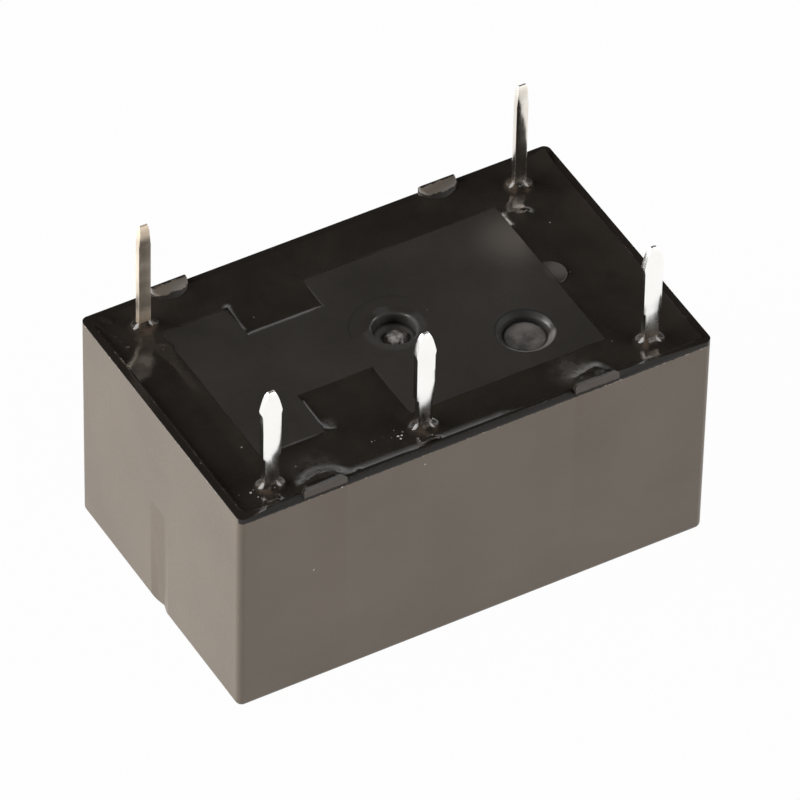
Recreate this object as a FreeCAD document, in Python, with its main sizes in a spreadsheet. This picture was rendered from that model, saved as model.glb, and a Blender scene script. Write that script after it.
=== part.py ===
import FreeCAD, Part
import os
import Sketcher
from FreeCAD import Vector

# Sealed printed circuit board relay with one changeover contact, pins up.
# Millimetres. Origin at the middle of the closed face, +X along the long side, +Z along the pins.

doc = FreeCAD.newDocument("power_relay")
sizes = doc.addObject("Spreadsheet::Sheet", "Size")

# Driving dimensions, in millimetres
dimensions = {
    # Case
    "case_length": 15.83,  # along X at the rim
    "case_width": 9.66,  # along Y at the rim
    "case_height": 7.7,  # closed face to rim
    "case_wall": 0.4,  # side wall at the rim
    "case_floor": 0.5,  # closed face wall
    "case_draft": 0.2,  # draft angle of the outer walls in degrees
    "case_corner_radius": 0.22,  # upright outer edges
    "case_edge_radius": 0.2,  # edges round the closed face
    "cavity_corner_radius": 0.15,  # upright inner edges
    "rim_bevel": 0.18,  # inner edge of the rim
    "foot_radius": 0.62,  # half-round stand-off feet
    "foot_height": 0.3,  # feet above the rim
    "foot_bevel": 0.06,  # top edges of the feet
    "left_foot_inset": 2.915,  # left feet from the left end
    "right_foot_inset": 3.815,  # right feet from the right end
    "groove_width": 1.0,  # groove on the left end
    "groove_depth": 0.16,  # groove at its deepest
    "groove_height": 4.0,  # groove up from the closed face
    # Base and resin
    "base_gap": 0.03,  # base to case all round
    "plate_depth": 0.5,  # rim down to the base plate
    "plate_thickness": 0.7,  # base plate
    "island_depth": 0.07,  # rim down to the island
    "resin_depth": 0.16,  # rim down to the resin
    "left_channel": 1.455,  # resin between the case and the island's left edge
    "right_channel": 2.295,  # resin between the case and the island's right edge
    "side_channel": 1.21,  # resin between the case and the island's long edges
    "front_left_channel": 1.78,  # resin in front of the island's left part
    "notch_inset": 2.19,  # both notches from the island's left edge
    "notch_width": 2.53,  # both notches along X
    "back_notch_reach": 1.95,  # bottom of the back notch from the middle
    "front_notch_reach": 0.98,  # bottom of the front notch from the middle
    "lug_radius": 0.5,  # half-round lug on the island's right edge
    "vent_x": 0.03,  # vent recess off the middle along X
    "vent_y": 0.17,  # vent recess off the middle along Y
    "dish_radius": 1.35,  # shallow dish round the vent
    "dish_depth": 0.06,  # shallow dish round the vent
    "vent_radius": 0.75,  # vent recess
    "vent_depth": 0.42,  # vent recess from the island's face
    "vent_hole_radius": 0.22,  # hole through the base
    "seal_radius": 0.34,  # head of the resin drop
    "seal_height": 0.14,  # head of the resin drop
    "seal_bevel": 0.09,  # head of the resin drop
    "gate_right_inset": 1.89,  # moulding gate recess from the island's right edge
    "gate_front_inset": 1.44,  # moulding gate recess from the island's front edge
    "gate_radius": 0.69,  # floor of the moulding gate recess
    "gate_depth": 0.26,  # moulding gate recess
    "gate_bevel": 0.19,  # mouth of the moulding gate recess
    # Terminals, which stand on a 2.54 mm grid
    "pin_end_inset": 1.565,  # outer pins from the case's ends
    "pin_row_inset": 1.02,  # both rows from the case's long sides
    "open_pin_step": 5.08,  # normally open pin from the normally closed pin
    "coil_pin_width": 0.4,  # along X
    "coil_pin_thickness": 0.2,  # along Y
    "coil_pin_length": 3.87,  # beyond the rim
    "coil_pin_tail": 1.1,  # below its block on the bobbin
    "contact_pin_width": 0.6,  # along X
    "contact_pin_thickness": 0.22,  # along Y, and the plate inside
    "contact_pin_length": 3.6,  # beyond the rim
    "pin_neck_width": 0.47,  # contact pins near their foot
    "pin_neck_height": 1.1,  # top of the neck above the rim
    "pin_shoulder_step": 0.03,  # contact pins' shoulders, proud of each side
    "pin_flare_length": 0.15,  # contact pins, up to their shoulders
    "pin_tip_length": 0.76,  # tapered tip
    "pin_nose_share": 0.8,  # contact pins' width halfway up the tip, as a share of their width
    "pin_tip_share": 0.45,  # contact pins' tip width as a share of their width
    "pin_tip_radius": 0.09,  # corners of the contact pins' tips
    "coil_tip_share": 0.75,  # coil pins' tip width as a share of their width
    "coil_tip_bevel": 0.07,  # coil pins' tips, front and back
    "fit_clearance": 0.02,  # gap all round of what is pushed into a slot or hole
    "bend_drop": 0.3,  # bends below the base plate
    # Coil and iron
    "end_space": 0.475,  # card to the case's end wall
    "side_space": 0.11,  # bobbin to the case's ribs
    "floor_space": 0.25,  # bobbin flange to the closed face wall
    "base_space": 0.35,  # bobbin flange to the base plate
    "coil_share": 0.4628,  # bobbin flange along Y as a share of the case's inside
    "flange_thickness": 0.6,  # along X
    "flange_corner_radius": 0.6,  # lower corners
    "spool_wall": 0.2,  # bobbin tube
    "winding_inset": 0.23,  # winding inside the flange's edge
    "tape_thickness": 0.08,  # tape round the winding
    "block_length": 1.4,  # terminal block beyond the flange
    "block_space": 0.075,  # terminal block above its solder
    "block_width": 0.72,  # terminal block along Y
    "core_radius": 0.85,  # iron core
    "core_bevel": 0.1,  # ends of the core
    "iron_thickness": 0.6,  # pole plate and yoke
    "iron_gap": 0.05,  # pole plate and yoke off the bobbin
    "iron_inset": 0.4,  # pole plate and yoke inside the flange's height
    "iron_bevel": 0.4,  # back corners of the pole plate and yoke
    "lead_radius": 0.06,  # winding wire's ends
    "lead_space": 0.05,  # leads in front of the coil terminals
    "lead_overlap": 0.5,  # leads over the winding
    "solder_width": 0.66,  # solder round a lead and its terminal
    "solder_height": 0.55,  # solder round a lead and its terminal
    "solder_bevel": 0.16,  # solder round a lead and its terminal
    # Armature, card and hinge spring
    "armature_thickness": 0.5,  # along Y
    "armature_inset": 1.0,  # armature inside the flange's height
    "armature_share": 0.36,  # armature's place between the normally open plate and the bobbin flanges
    "air_gap": 0.45,  # armature to the pole plate at rest
    "hinge_gap": 0.05,  # armature to the yoke's edge
    "tongue_height": 1.1,  # armature's tip in the card
    "card_length": 0.66,  # along X
    "card_height": 2.0,  # along Z
    "card_gap": 0.08,  # card off the pole plate's outer face
    "card_back": 0.35,  # card beyond the armature towards the coil
    "card_corner_radius": 0.25,  # corners of the card
    "fork_reach": 0.42,  # card beyond the contact spring
    "fork_clearance": 0.05,  # contact spring in the card's window
    "hinge_leaf": 0.1,  # thickness of the hinge spring
    "hinge_leaf_height": 2.0,  # along Z
    "hinge_leaf_reach": 2.2,  # along the armature
    "hinge_leaf_space": 0.2,  # short of the core along the yoke
    "rivet_radius": 0.25,  # small rivets
    "rivet_head_radius": 0.42,  # small rivets
    "rivet_head": 0.14,  # height of a small rivet's head
    # Contact side
    "leaf_thickness": 0.1,  # contact spring
    "leaf_height": 1.9,  # contact spring along Z
    "leaf_root_height": 2.8,  # contact spring at its rivets
    "leaf_tip_height": 0.9,  # contact spring in the card
    "root_width": 1.8,  # common terminal's plate along X
    "contact_inset": 1.95,  # contacts from the normally closed pin
    "contact_radius": 0.75,  # contact heads
    "contact_shank_radius": 0.35,  # contact rivets' shanks
    "contact_head": 0.3,  # height of the contact heads
    "contact_bevel": 0.12,  # edges of the contact heads
    "contact_clearance": 0.03,  # touching contacts in the model
    "contact_travel": 0.37,  # moving contact from one fixed contact to the other
    "plate_height": 2.4,  # fixed contact plates along Z
    "plate_margin": 0.15,  # fixed contact plates beyond their contacts
}
for row, (name, number) in enumerate(dimensions.items(), 1):
    sizes.set(f"A{row}", name)
    sizes.set(f"B{row}", str(number))
    sizes.setAlias(f"B{row}", name)
doc.recompute()


def value(expression):
    """The number that an expression on the sheet gives now."""
    return float(sizes.evalExpression(expression))


# Heights
rim = "Size.case_height"
foot_top = f"({rim} + Size.foot_height)"
island_top = f"({rim} - Size.island_depth)"
resin_top = f"({rim} - Size.resin_depth)"
plate_top = f"({rim} - Size.plate_depth)"
plate_bottom = f"({plate_top} - Size.plate_thickness)"
bend_top = f"({plate_bottom} - Size.bend_drop)"
flange_low = "(Size.case_floor + Size.floor_space)"
flange_height = f"({plate_bottom} - Size.base_space - {flange_low})"
middle_z = f"({flange_low} + {flange_height} / 2)"
iron_height = f"({flange_height} - 2 * Size.iron_inset)"
armature_height = f"({flange_height} - 2 * Size.armature_inset)"
plate_z_low = f"({middle_z} - Size.plate_height / 2)"
plate_z_high = f"({middle_z} + Size.plate_height / 2)"

# Places along X, worked out from the case's ends inwards
case_half_length = "(Size.case_length / 2)"
case_drift = f"({rim} * tan(Size.case_draft))"
inner_half_length = f"({case_half_length} - Size.case_wall)"
left_foot_x = f"(Size.left_foot_inset - {case_half_length})"
right_foot_x = f"({case_half_length} - Size.right_foot_inset)"
end_pin_x = f"({case_half_length} - Size.pin_end_inset)"
open_pin_x = f"(Size.open_pin_step - {end_pin_x})"
island_left = f"({inner_half_length} - Size.left_channel)"
island_right = f"({inner_half_length} - Size.right_channel)"
notch_left = f"({island_left} - Size.notch_inset)"
notch_right = f"({notch_left} - Size.notch_width)"
gate_x = f"({island_right} - Size.gate_right_inset)"
card_left = f"(Size.end_space - {inner_half_length})"
card_right = f"({card_left} + Size.card_length)"
iron_outer = f"(-{card_right} - Size.card_gap)"
iron_inner = f"({iron_outer} - Size.iron_thickness)"
iron_middle = f"({iron_outer} - Size.iron_thickness / 2)"
flange_outer = f"({iron_inner} - Size.iron_gap)"
spool_end = f"({flange_outer} - Size.flange_thickness)"
contact_x = f"(Size.contact_inset - {end_pin_x})"
plate_left = f"({contact_x} - Size.contact_radius - Size.plate_margin)"

# Places along Y, worked out from the front row of pins to the coil
case_half_width = "(Size.case_width / 2)"
inner_half_width = f"({case_half_width} - Size.case_wall)"
row_y = f"({case_half_width} - Size.pin_row_inset)"
island_edge = f"({inner_half_width} - Size.side_channel)"
island_front = f"({inner_half_width} - Size.front_left_channel)"
gate_y = f"({island_edge} - Size.gate_front_inset)"
closed_plate_y = f"(-{row_y})"
closed_face_y = f"({closed_plate_y} + Size.contact_pin_thickness / 2)"
leaf_front = f"({closed_face_y} + 2 * Size.contact_head + Size.contact_clearance)"
leaf_y = f"({leaf_front} + Size.leaf_thickness / 2)"
leaf_back = f"({leaf_front} + Size.leaf_thickness)"
root_plate_y = f"({leaf_front} - Size.contact_pin_thickness / 2)"
open_contact_y = f"({leaf_back} + Size.contact_head + Size.contact_travel + Size.contact_clearance)"
open_face_y = f"({open_contact_y} + Size.contact_head)"
open_plate_y = f"({open_face_y} + Size.contact_pin_thickness / 2)"
open_back_y = f"({open_face_y} + Size.contact_pin_thickness)"
flange_back = f"({case_half_width} - Size.foot_radius - Size.side_space)"
flange_width = f"({inner_half_width} * 2 * Size.coil_share)"
flange_front = f"({flange_back} - {flange_width})"
armature_room = f"({flange_front} - {open_back_y} - Size.armature_thickness)"
armature_front = f"({open_back_y} + {armature_room} * Size.armature_share)"
armature_y = f"({armature_front} + Size.armature_thickness / 2)"
armature_back = f"({armature_front} + Size.armature_thickness)"
coil_y = f"({flange_back} - {flange_width} / 2)"
iron_back = f"({flange_back} - Size.block_width - Size.iron_gap)"

# The coil, its leads and the blocks that hold its terminals
winding_radius = f"({flange_width} / 2 - Size.winding_inset)"
tape_radius = f"({winding_radius} + Size.tape_thickness)"
core_hole_radius = "(Size.core_radius + Size.fit_clearance)"
tube_radius = f"({core_hole_radius} + Size.spool_wall)"
lead_y = f"({row_y} - Size.coil_pin_thickness / 2 - Size.lead_space - Size.lead_radius)"
lead_z = f"({middle_z} + sqrt(({tape_radius} + Size.lead_radius) ^ 2 - ({lead_y} - {coil_y}) ^ 2))"
block_bottom = f"({lead_z} + Size.solder_height / 2 + Size.block_space)"

pieces = []


def new_body(label):
    """A body for one sub-part, named as its file will be."""
    body = doc.addObject("PartDesign::Body", label)
    body.Label = label
    body.Placement = FreeCAD.Placement()
    pieces.append(body)
    return body


def sketch_on(body, plane, height="0"):
    """An empty sketch on one of the body's own planes, raised along the plane's normal."""
    origin_plane = [item for item in body.Origin.OriginFeatures if item.Role == plane][0]
    sketch = body.newObject("Sketcher::SketchObject", f"{body.Name}_sketch")
    sketch.AttachmentSupport = (origin_plane, [""])
    sketch.MapMode = "FlatFace"
    sketch.setExpression("AttachmentOffset.Base.z", height)
    return sketch


def bind(sketch, kind, elements, expression):
    """A driving constraint whose value follows an expression."""
    number = sketch.addConstraint(Sketcher.Constraint(kind, *elements, value(expression)))
    sketch.setExpression(f"Constraints[{number}]", expression)


def bind_point(sketch, item, end, place):
    bind(sketch, "DistanceX", (-1, 1, item, end), place[0])
    bind(sketch, "DistanceY", (-1, 1, item, end), place[1])


def draw_polygon(sketch, corners):
    """A closed outline through corners, each an (across, up) pair of expressions."""
    first = sketch.GeometryCount
    points = [Vector(value(across), value(up), 0) for across, up in corners]
    for start, end in zip(points, points[1:] + points[:1]):
        sketch.addGeometry(Part.LineSegment(start, end))
    for index, corner in enumerate(corners):
        following = (index + 1) % len(corners)
        sketch.addConstraint(Sketcher.Constraint("Coincident", first + index, 2, first + following, 1))
        bind_point(sketch, first + index, 1, corner)


def draw_rectangle(sketch, left, right, low, high):
    draw_polygon(sketch, [(left, low), (right, low), (right, high), (left, high)])


def draw_centred_rectangle(sketch, width, height, across="0", up="0"):
    half_width = f"({width}) / 2"
    half_height = f"({height}) / 2"
    draw_rectangle(sketch, f"{across} - {half_width}", f"{across} + {half_width}",
                   f"{up} - {half_height}", f"{up} + {half_height}")


def draw_circle(sketch, across, up, radius):
    centre = Vector(value(across), value(up), 0)
    item = sketch.addGeometry(Part.Circle(centre, Vector(0, 0, 1), value(radius)))
    bind_point(sketch, item, 3, (across, up))
    bind(sketch, "Radius", (item,), radius)


def draw_half_round(sketch, across, side, inset):
    """A half-disc that bulges inward from a long wall, cut off flat at inset inside the outer face."""
    reach = f"sqrt(Size.foot_radius ^ 2 - ({inset}) ^ 2)"
    left = (f"{across} - {reach}", f"{side} * ({case_half_width} - {inset})")
    right = (f"{across} + {reach}", f"{side} * ({case_half_width} - {inset})")
    crown = (across, f"{side} * ({case_half_width} - Size.foot_radius)")
    spots = [Vector(value(place[0]), value(place[1]), 0) for place in (left, crown, right)]
    arc = sketch.addGeometry(Part.Arc(*spots))
    flat = sketch.addGeometry(Part.LineSegment(spots[0], spots[2]))
    arc_left, arc_right = (1, 2) if side > 0 else (2, 1)
    sketch.addConstraint(Sketcher.Constraint("Coincident", arc, arc_left, flat, 1))
    sketch.addConstraint(Sketcher.Constraint("Coincident", arc, arc_right, flat, 2))
    bind_point(sketch, flat, 1, left)
    bind(sketch, "DistanceX", (-1, 1, flat, 2), right[0])
    sketch.addConstraint(Sketcher.Constraint("Horizontal", flat))
    bind(sketch, "DistanceY", (-1, 1, arc, 3), f"{side} * {case_half_width}")


def pad(body, sketch, length, middle=False, draft=None):
    feature = body.newObject("PartDesign::Pad", f"{body.Name}_pad")
    feature.Profile = sketch
    feature.Midplane = middle
    feature.setExpression("Length", length)
    if draft:
        feature.setExpression("TaperAngle", draft)
    doc.recompute()
    return feature


def pocket(body, sketch, depth, upward=False, middle=False):
    """Cut a sketch into the body, and stop if it removed nothing."""
    before = body.Tip.Shape.Volume
    feature = body.newObject("PartDesign::Pocket", f"{body.Name}_pocket")
    feature.Profile = sketch
    feature.Reversed = upward
    feature.Midplane = middle
    feature.setExpression("Length", depth)
    doc.recompute()
    if not feature.Shape.Volume < before:
        raise ValueError(f"{feature.Name} cuts nothing")
    return feature


def dress(body, kind, name, radius, wanted):
    """Round or bevel the edges of the body that the wanted test picks."""
    base = body.Tip
    edges = [f"Edge{number}" for number, edge in enumerate(base.Shape.Edges, 1) if wanted(edge)]
    if not edges:
        raise ValueError(f"{body.Name} has no edge for {name}")
    feature = body.newObject(f"PartDesign::{kind}", f"{body.Name}_{name}")
    feature.Base = (base, edges)
    feature.setExpression("Radius" if kind == "Fillet" else "Size", radius)
    doc.recompute()
    return feature


def near(number, expression):
    return abs(number - value(expression)) < 0.001


def runs_along(edge, axis):
    """Whether a straight edge runs mostly along axis 0, 1 or 2."""
    ends = edge.Vertexes[-1].Point - edge.Vertexes[0].Point
    return len(edge.Vertexes) == 2 and abs(ends[axis]) > 0.99 * edge.Length


# Case: one moulding, drawn in a mould that opens along Z
feet = [(left_foot_x, -1), (left_foot_x, 1), (right_foot_x, -1), (right_foot_x, 1)]

case = new_body("case")
outline = sketch_on(case, "XY_Plane")
draw_centred_rectangle(outline, f"Size.case_length - 2 * {case_drift}", f"Size.case_width - 2 * {case_drift}")
pad(case, outline, rim, draft="Size.case_draft")
dress(case, "Fillet", "upright_edges", "Size.case_corner_radius",
      lambda edge: runs_along(edge, 2))
dress(case, "Fillet", "closed_face_edges", "Size.case_edge_radius",
      lambda edge: edge.BoundBox.ZMax < 0.001)
outline = sketch_on(case, "XY_Plane", rim)
draw_centred_rectangle(outline, f"2 * {inner_half_length}", f"2 * {inner_half_width}")
pocket(case, outline, f"{rim} - Size.case_floor")
dress(case, "Fillet", "cavity_edges", "Size.cavity_corner_radius",
      lambda edge: runs_along(edge, 2) and near(abs(edge.CenterOfMass.y), inner_half_width)
      and near(abs(edge.CenterOfMass.x), inner_half_length))
dress(case, "Chamfer", "rim_edges", "Size.rim_bevel",
      lambda edge: near(edge.BoundBox.ZMin, rim)
      and abs(edge.CenterOfMass.x) < value(f"{case_half_length} - Size.case_wall / 2")
      and abs(edge.CenterOfMass.y) < value(f"{case_half_width} - Size.case_wall / 2"))
outline = sketch_on(case, "XY_Plane", "Size.case_floor")
for foot_x, side in feet:
    draw_half_round(outline, foot_x, side, "Size.case_wall / 2")
pad(case, outline, f"{rim} - Size.case_floor")
outline = sketch_on(case, "XY_Plane", rim)
for foot_x, side in feet:
    draw_half_round(outline, foot_x, side, "0")
pad(case, outline, "Size.foot_height")
dress(case, "Chamfer", "foot_edges", "Size.foot_bevel",
      lambda edge: near(edge.BoundBox.ZMin, foot_top) and not runs_along(edge, 0))
outline = sketch_on(case, "XY_Plane")
end_face = f"(-{case_half_length} + {case_drift})"
draw_polygon(outline, [(f"{end_face} - Size.groove_depth", "-Size.groove_width"),
                       (f"{end_face} + Size.groove_depth", "0"),
                       (f"{end_face} - Size.groove_depth", "Size.groove_width")])
pocket(case, outline, "Size.groove_height", upward=True)


# Base: plate with a raised island, its notches and recesses
def draw_island(sketch):
    front = f"-{island_edge}"
    draw_polygon(sketch, [(f"-{island_left}", f"-{island_front}"),
                          (f"-{notch_left}", f"-{island_front}"),
                          (f"-{notch_left}", "-Size.front_notch_reach"),
                          (f"-{notch_right}", "-Size.front_notch_reach"),
                          (f"-{notch_right}", front),
                          (island_right, front),
                          (island_right, island_edge),
                          (f"-{notch_right}", island_edge),
                          (f"-{notch_right}", "Size.back_notch_reach"),
                          (f"-{notch_left}", "Size.back_notch_reach"),
                          (f"-{notch_left}", island_edge),
                          (f"-{island_left}", island_edge)])


def draw_foot_circles(sketch, radius):
    for foot_x, side in feet:
        draw_circle(sketch, foot_x, f"{side} * {case_half_width}", radius)


coil_pins = [(f"(-{end_pin_x})", row_y), (end_pin_x, row_y)]
contact_pins = [(f"(-{end_pin_x})", f"(-{row_y})"),
                (open_pin_x, f"(-{row_y})"),
                (end_pin_x, f"(-{row_y})")]


def draw_pin_slots(sketch, clearance):
    """The five terminals' sections where they pass the base and the resin."""
    for across, up in coil_pins:
        draw_centred_rectangle(sketch, f"Size.coil_pin_width + 2 * {clearance}",
                               f"Size.coil_pin_thickness + 2 * {clearance}", across, up)
    for across, up in contact_pins:
        draw_centred_rectangle(sketch, f"Size.pin_neck_width + 2 * {clearance}",
                               f"Size.contact_pin_thickness + 2 * {clearance}", across, up)


base = new_body("base")
outline = sketch_on(base, "XY_Plane", plate_bottom)
draw_centred_rectangle(outline, f"2 * ({inner_half_length} - Size.base_gap)",
                       f"2 * ({inner_half_width} - Size.base_gap)")
pad(base, outline, "Size.plate_thickness")
dress(base, "Fillet", "corners", "Size.cavity_corner_radius", lambda edge: runs_along(edge, 2))
outline = sketch_on(base, "XY_Plane", plate_top)
draw_foot_circles(outline, "Size.foot_radius + Size.base_gap")
pocket(base, outline, "Size.plate_thickness")
outline = sketch_on(base, "XY_Plane", plate_top)
draw_island(outline)
pad(base, outline, "Size.plate_depth - Size.island_depth")
outline = sketch_on(base, "XY_Plane", plate_top)
draw_circle(outline, island_right, "0", "Size.lug_radius")
pad(base, outline, "Size.plate_depth - Size.island_depth")
outline = sketch_on(base, "XY_Plane", island_top)
draw_circle(outline, "Size.vent_x", "Size.vent_y", "Size.dish_radius")
pocket(base, outline, "Size.dish_depth")
outline = sketch_on(base, "XY_Plane", island_top)
draw_circle(outline, "Size.vent_x", "Size.vent_y", "Size.vent_radius")
pocket(base, outline, "Size.vent_depth")
outline = sketch_on(base, "XY_Plane", island_top)
draw_circle(outline, "Size.vent_x", "Size.vent_y", "Size.vent_hole_radius")
pocket(base, outline, "Size.plate_thickness + Size.plate_depth")
outline = sketch_on(base, "XY_Plane", island_top)
draw_circle(outline, gate_x, f"-{gate_y}", "Size.gate_radius")
pocket(base, outline, "Size.gate_depth")
dress(base, "Chamfer", "gate_mouth", "Size.gate_bevel",
      lambda edge: near(edge.BoundBox.ZMin, island_top)
      and near(edge.BoundBox.XLength, "2 * Size.gate_radius"))
outline = sketch_on(base, "XY_Plane", plate_top)
draw_pin_slots(outline, "Size.fit_clearance")
pocket(base, outline, "Size.plate_thickness")

# Sealing resin: cast round the island, against the case wall and round the pins
resin = new_body("sealing_resin")
outline = sketch_on(resin, "XY_Plane", plate_top)
draw_centred_rectangle(outline, f"2 * {inner_half_length}", f"2 * {inner_half_width}")
pad(resin, outline, "Size.plate_depth - Size.resin_depth")
dress(resin, "Fillet", "corners", "Size.cavity_corner_radius", lambda edge: runs_along(edge, 2))
outline = sketch_on(resin, "XY_Plane", resin_top)
draw_island(outline)
pocket(resin, outline, "Size.plate_depth")
outline = sketch_on(resin, "XY_Plane", resin_top)
draw_circle(outline, island_right, "0", "Size.lug_radius")
pocket(resin, outline, "Size.plate_depth")
outline = sketch_on(resin, "XY_Plane", resin_top)
draw_foot_circles(outline, "Size.foot_radius")
pocket(resin, outline, "Size.plate_depth")
outline = sketch_on(resin, "XY_Plane", resin_top)
draw_pin_slots(outline, "0")
pocket(resin, outline, "Size.plate_depth")

# Vent seal: a drop of resin with its stem down the vent hole
vent_seal = new_body("vent_seal")
vent_floor = f"({island_top} - Size.vent_depth)"
outline = sketch_on(vent_seal, "XY_Plane", vent_floor)
draw_circle(outline, "Size.vent_x", "Size.vent_y", "Size.seal_radius")
pad(vent_seal, outline, "Size.seal_height")
dress(vent_seal, "Chamfer", "dome", "Size.seal_bevel",
      lambda edge: near(edge.BoundBox.ZMin, f"{vent_floor} + Size.seal_height"))
outline = sketch_on(vent_seal, "XY_Plane", plate_bottom)
draw_circle(outline, "Size.vent_x", "Size.vent_y", "Size.vent_hole_radius")
pad(vent_seal, outline, f"{vent_floor} - {plate_bottom}")


# Terminals: flat blades, stamped from strip and tinned
def draw_blade(sketch, across, width, bottom, top):
    """A blade seen square on, with a tapered tip."""
    shoulder = f"{top} - Size.pin_tip_length"
    tip = f"{width} * Size.coil_tip_share / 2"
    draw_polygon(sketch, [(f"{across} - {width} / 2", bottom),
                          (f"{across} + {width} / 2", bottom),
                          (f"{across} + {width} / 2", shoulder),
                          (f"{across} + {tip}", top),
                          (f"{across} - {tip}", top),
                          (f"{across} - {width} / 2", shoulder)])


coil_pin_top = f"({rim} + Size.coil_pin_length)"
coil_pin_bottom = f"({block_bottom} - Size.coil_pin_tail)"

for label, (across, up) in zip(("coil_terminal_left", "coil_terminal_right"), coil_pins):
    terminal = new_body(label)
    outline = sketch_on(terminal, "XZ_Plane", f"-{up}")
    draw_blade(outline, across, "Size.coil_pin_width", coil_pin_bottom, coil_pin_top)
    pad(terminal, outline, "Size.coil_pin_thickness", middle=True)
    dress(terminal, "Chamfer", "coined_tip", "Size.coil_tip_bevel",
          lambda edge: runs_along(edge, 0) and near(edge.CenterOfMass.z, coil_pin_top))

contact_pin_top = f"({rim} + Size.contact_pin_length)"
neck_top = f"({rim} + Size.pin_neck_height)"


def draw_contact_pin(sketch, across, bottom):
    """The outer half of a contact terminal: neck, body, shoulders and bullet-shaped tip."""
    neck = "Size.pin_neck_width / 2"
    half = "Size.contact_pin_width / 2"
    shoulder = f"{half} + Size.pin_shoulder_step"
    tip_start = f"{contact_pin_top} - Size.pin_tip_length"
    stations = [(neck, bottom),
                (neck, neck_top),
                (half, f"{neck_top} + ({half} - {neck})"),
                (half, f"{tip_start} - Size.pin_flare_length"),
                (shoulder, tip_start),
                (f"{half} * Size.pin_nose_share", f"{contact_pin_top} - Size.pin_tip_length / 2"),
                (f"{half} * Size.pin_tip_share", contact_pin_top)]
    right = [(f"{across} + {reach}", height) for reach, height in stations]
    left = [(f"{across} - ({reach})", height) for reach, height in reversed(stations)]
    draw_polygon(sketch, right + left)


def round_tip(body):
    dress(body, "Fillet", "tip", "Size.pin_tip_radius",
          lambda edge: runs_along(edge, 1) and near(edge.CenterOfMass.z, contact_pin_top))


def contact_hole(body, across, plane_y):
    """The hole for a contact rivet's shank."""
    hole = sketch_on(body, "XZ_Plane", f"-{plane_y}")
    draw_circle(hole, across, middle_z, "Size.contact_shank_radius")
    pocket(body, hole, "2 * Size.contact_pin_thickness", middle=True)


# Normally closed terminal: one flat plate, straight down from its pin
closed_terminal = new_body("normally_closed_terminal")
outline = sketch_on(closed_terminal, "XZ_Plane", f"-{closed_plate_y}")
draw_contact_pin(outline, f"(-{end_pin_x})", plate_bottom)
pad(closed_terminal, outline, "Size.contact_pin_thickness", middle=True)
outline = sketch_on(closed_terminal, "XZ_Plane", f"-{closed_plate_y}")
draw_polygon(outline, [(f"-{end_pin_x} - Size.contact_pin_width / 2", plate_bottom),
                       (f"-{end_pin_x} - Size.contact_pin_width / 2", plate_z_low),
                       (f"{contact_x} + Size.contact_radius", plate_z_low),
                       (f"{contact_x} + Size.contact_radius", plate_z_high),
                       (f"-{end_pin_x} + 2 * Size.contact_pin_width", plate_bottom)])
pad(closed_terminal, outline, "Size.contact_pin_thickness", middle=True)
contact_hole(closed_terminal, contact_x, closed_plate_y)
round_tip(closed_terminal)

# Normally open terminal: bridges over the contact spring, then hangs down on its coil side
open_terminal = new_body("normally_open_terminal")
outline = sketch_on(open_terminal, "XZ_Plane", row_y)
draw_contact_pin(outline, open_pin_x, bend_top)
pad(open_terminal, outline, "Size.contact_pin_thickness", middle=True)
outline = sketch_on(open_terminal, "YZ_Plane", open_pin_x)
draw_rectangle(outline, f"-{row_y} - Size.contact_pin_thickness / 2",
               f"{open_plate_y} + Size.contact_pin_thickness / 2",
               f"{bend_top} - Size.contact_pin_thickness", bend_top)
pad(open_terminal, outline, "Size.contact_pin_width", middle=True)
outline = sketch_on(open_terminal, "XZ_Plane", f"-{open_plate_y}")
draw_polygon(outline, [(f"{open_pin_x} + Size.contact_pin_width / 2", bend_top),
                       (f"{open_pin_x} - Size.contact_pin_width / 2", bend_top),
                       (f"{open_pin_x} - Size.contact_pin_width / 2", plate_z_high),
                       (plate_left, plate_z_high),
                       (plate_left, plate_z_low),
                       (f"{open_pin_x} + Size.contact_pin_width / 2", plate_z_low)])
pad(open_terminal, outline, "Size.contact_pin_thickness", middle=True)
contact_hole(open_terminal, contact_x, open_plate_y)
round_tip(open_terminal)

# Common terminal: jogged inwards to carry the contact spring's root
common_terminal = new_body("common_terminal")
outline = sketch_on(common_terminal, "XZ_Plane", row_y)
draw_contact_pin(outline, end_pin_x, bend_top)
pad(common_terminal, outline, "Size.contact_pin_thickness", middle=True)
outline = sketch_on(common_terminal, "YZ_Plane", end_pin_x)
draw_rectangle(outline, f"-{row_y} - Size.contact_pin_thickness / 2",
               f"{root_plate_y} + Size.contact_pin_thickness / 2",
               f"{bend_top} - Size.contact_pin_thickness", bend_top)
pad(common_terminal, outline, "Size.root_width", middle=True)
outline = sketch_on(common_terminal, "XZ_Plane", f"-{root_plate_y}")
draw_rectangle(outline, f"{end_pin_x} - Size.root_width / 2", f"{end_pin_x} + Size.root_width / 2",
               f"{middle_z} - Size.leaf_root_height / 2", bend_top)
pad(common_terminal, outline, "Size.contact_pin_thickness", middle=True)
root_rivets = [f"({middle_z} - Size.leaf_root_height / 4)", f"({middle_z} + Size.leaf_root_height / 4)"]
outline = sketch_on(common_terminal, "XZ_Plane", f"-{root_plate_y}")
for rivet_z in root_rivets:
    draw_circle(outline, end_pin_x, rivet_z, "Size.rivet_radius")
pocket(common_terminal, outline, "2 * Size.contact_pin_thickness", middle=True)
round_tip(common_terminal)

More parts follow.
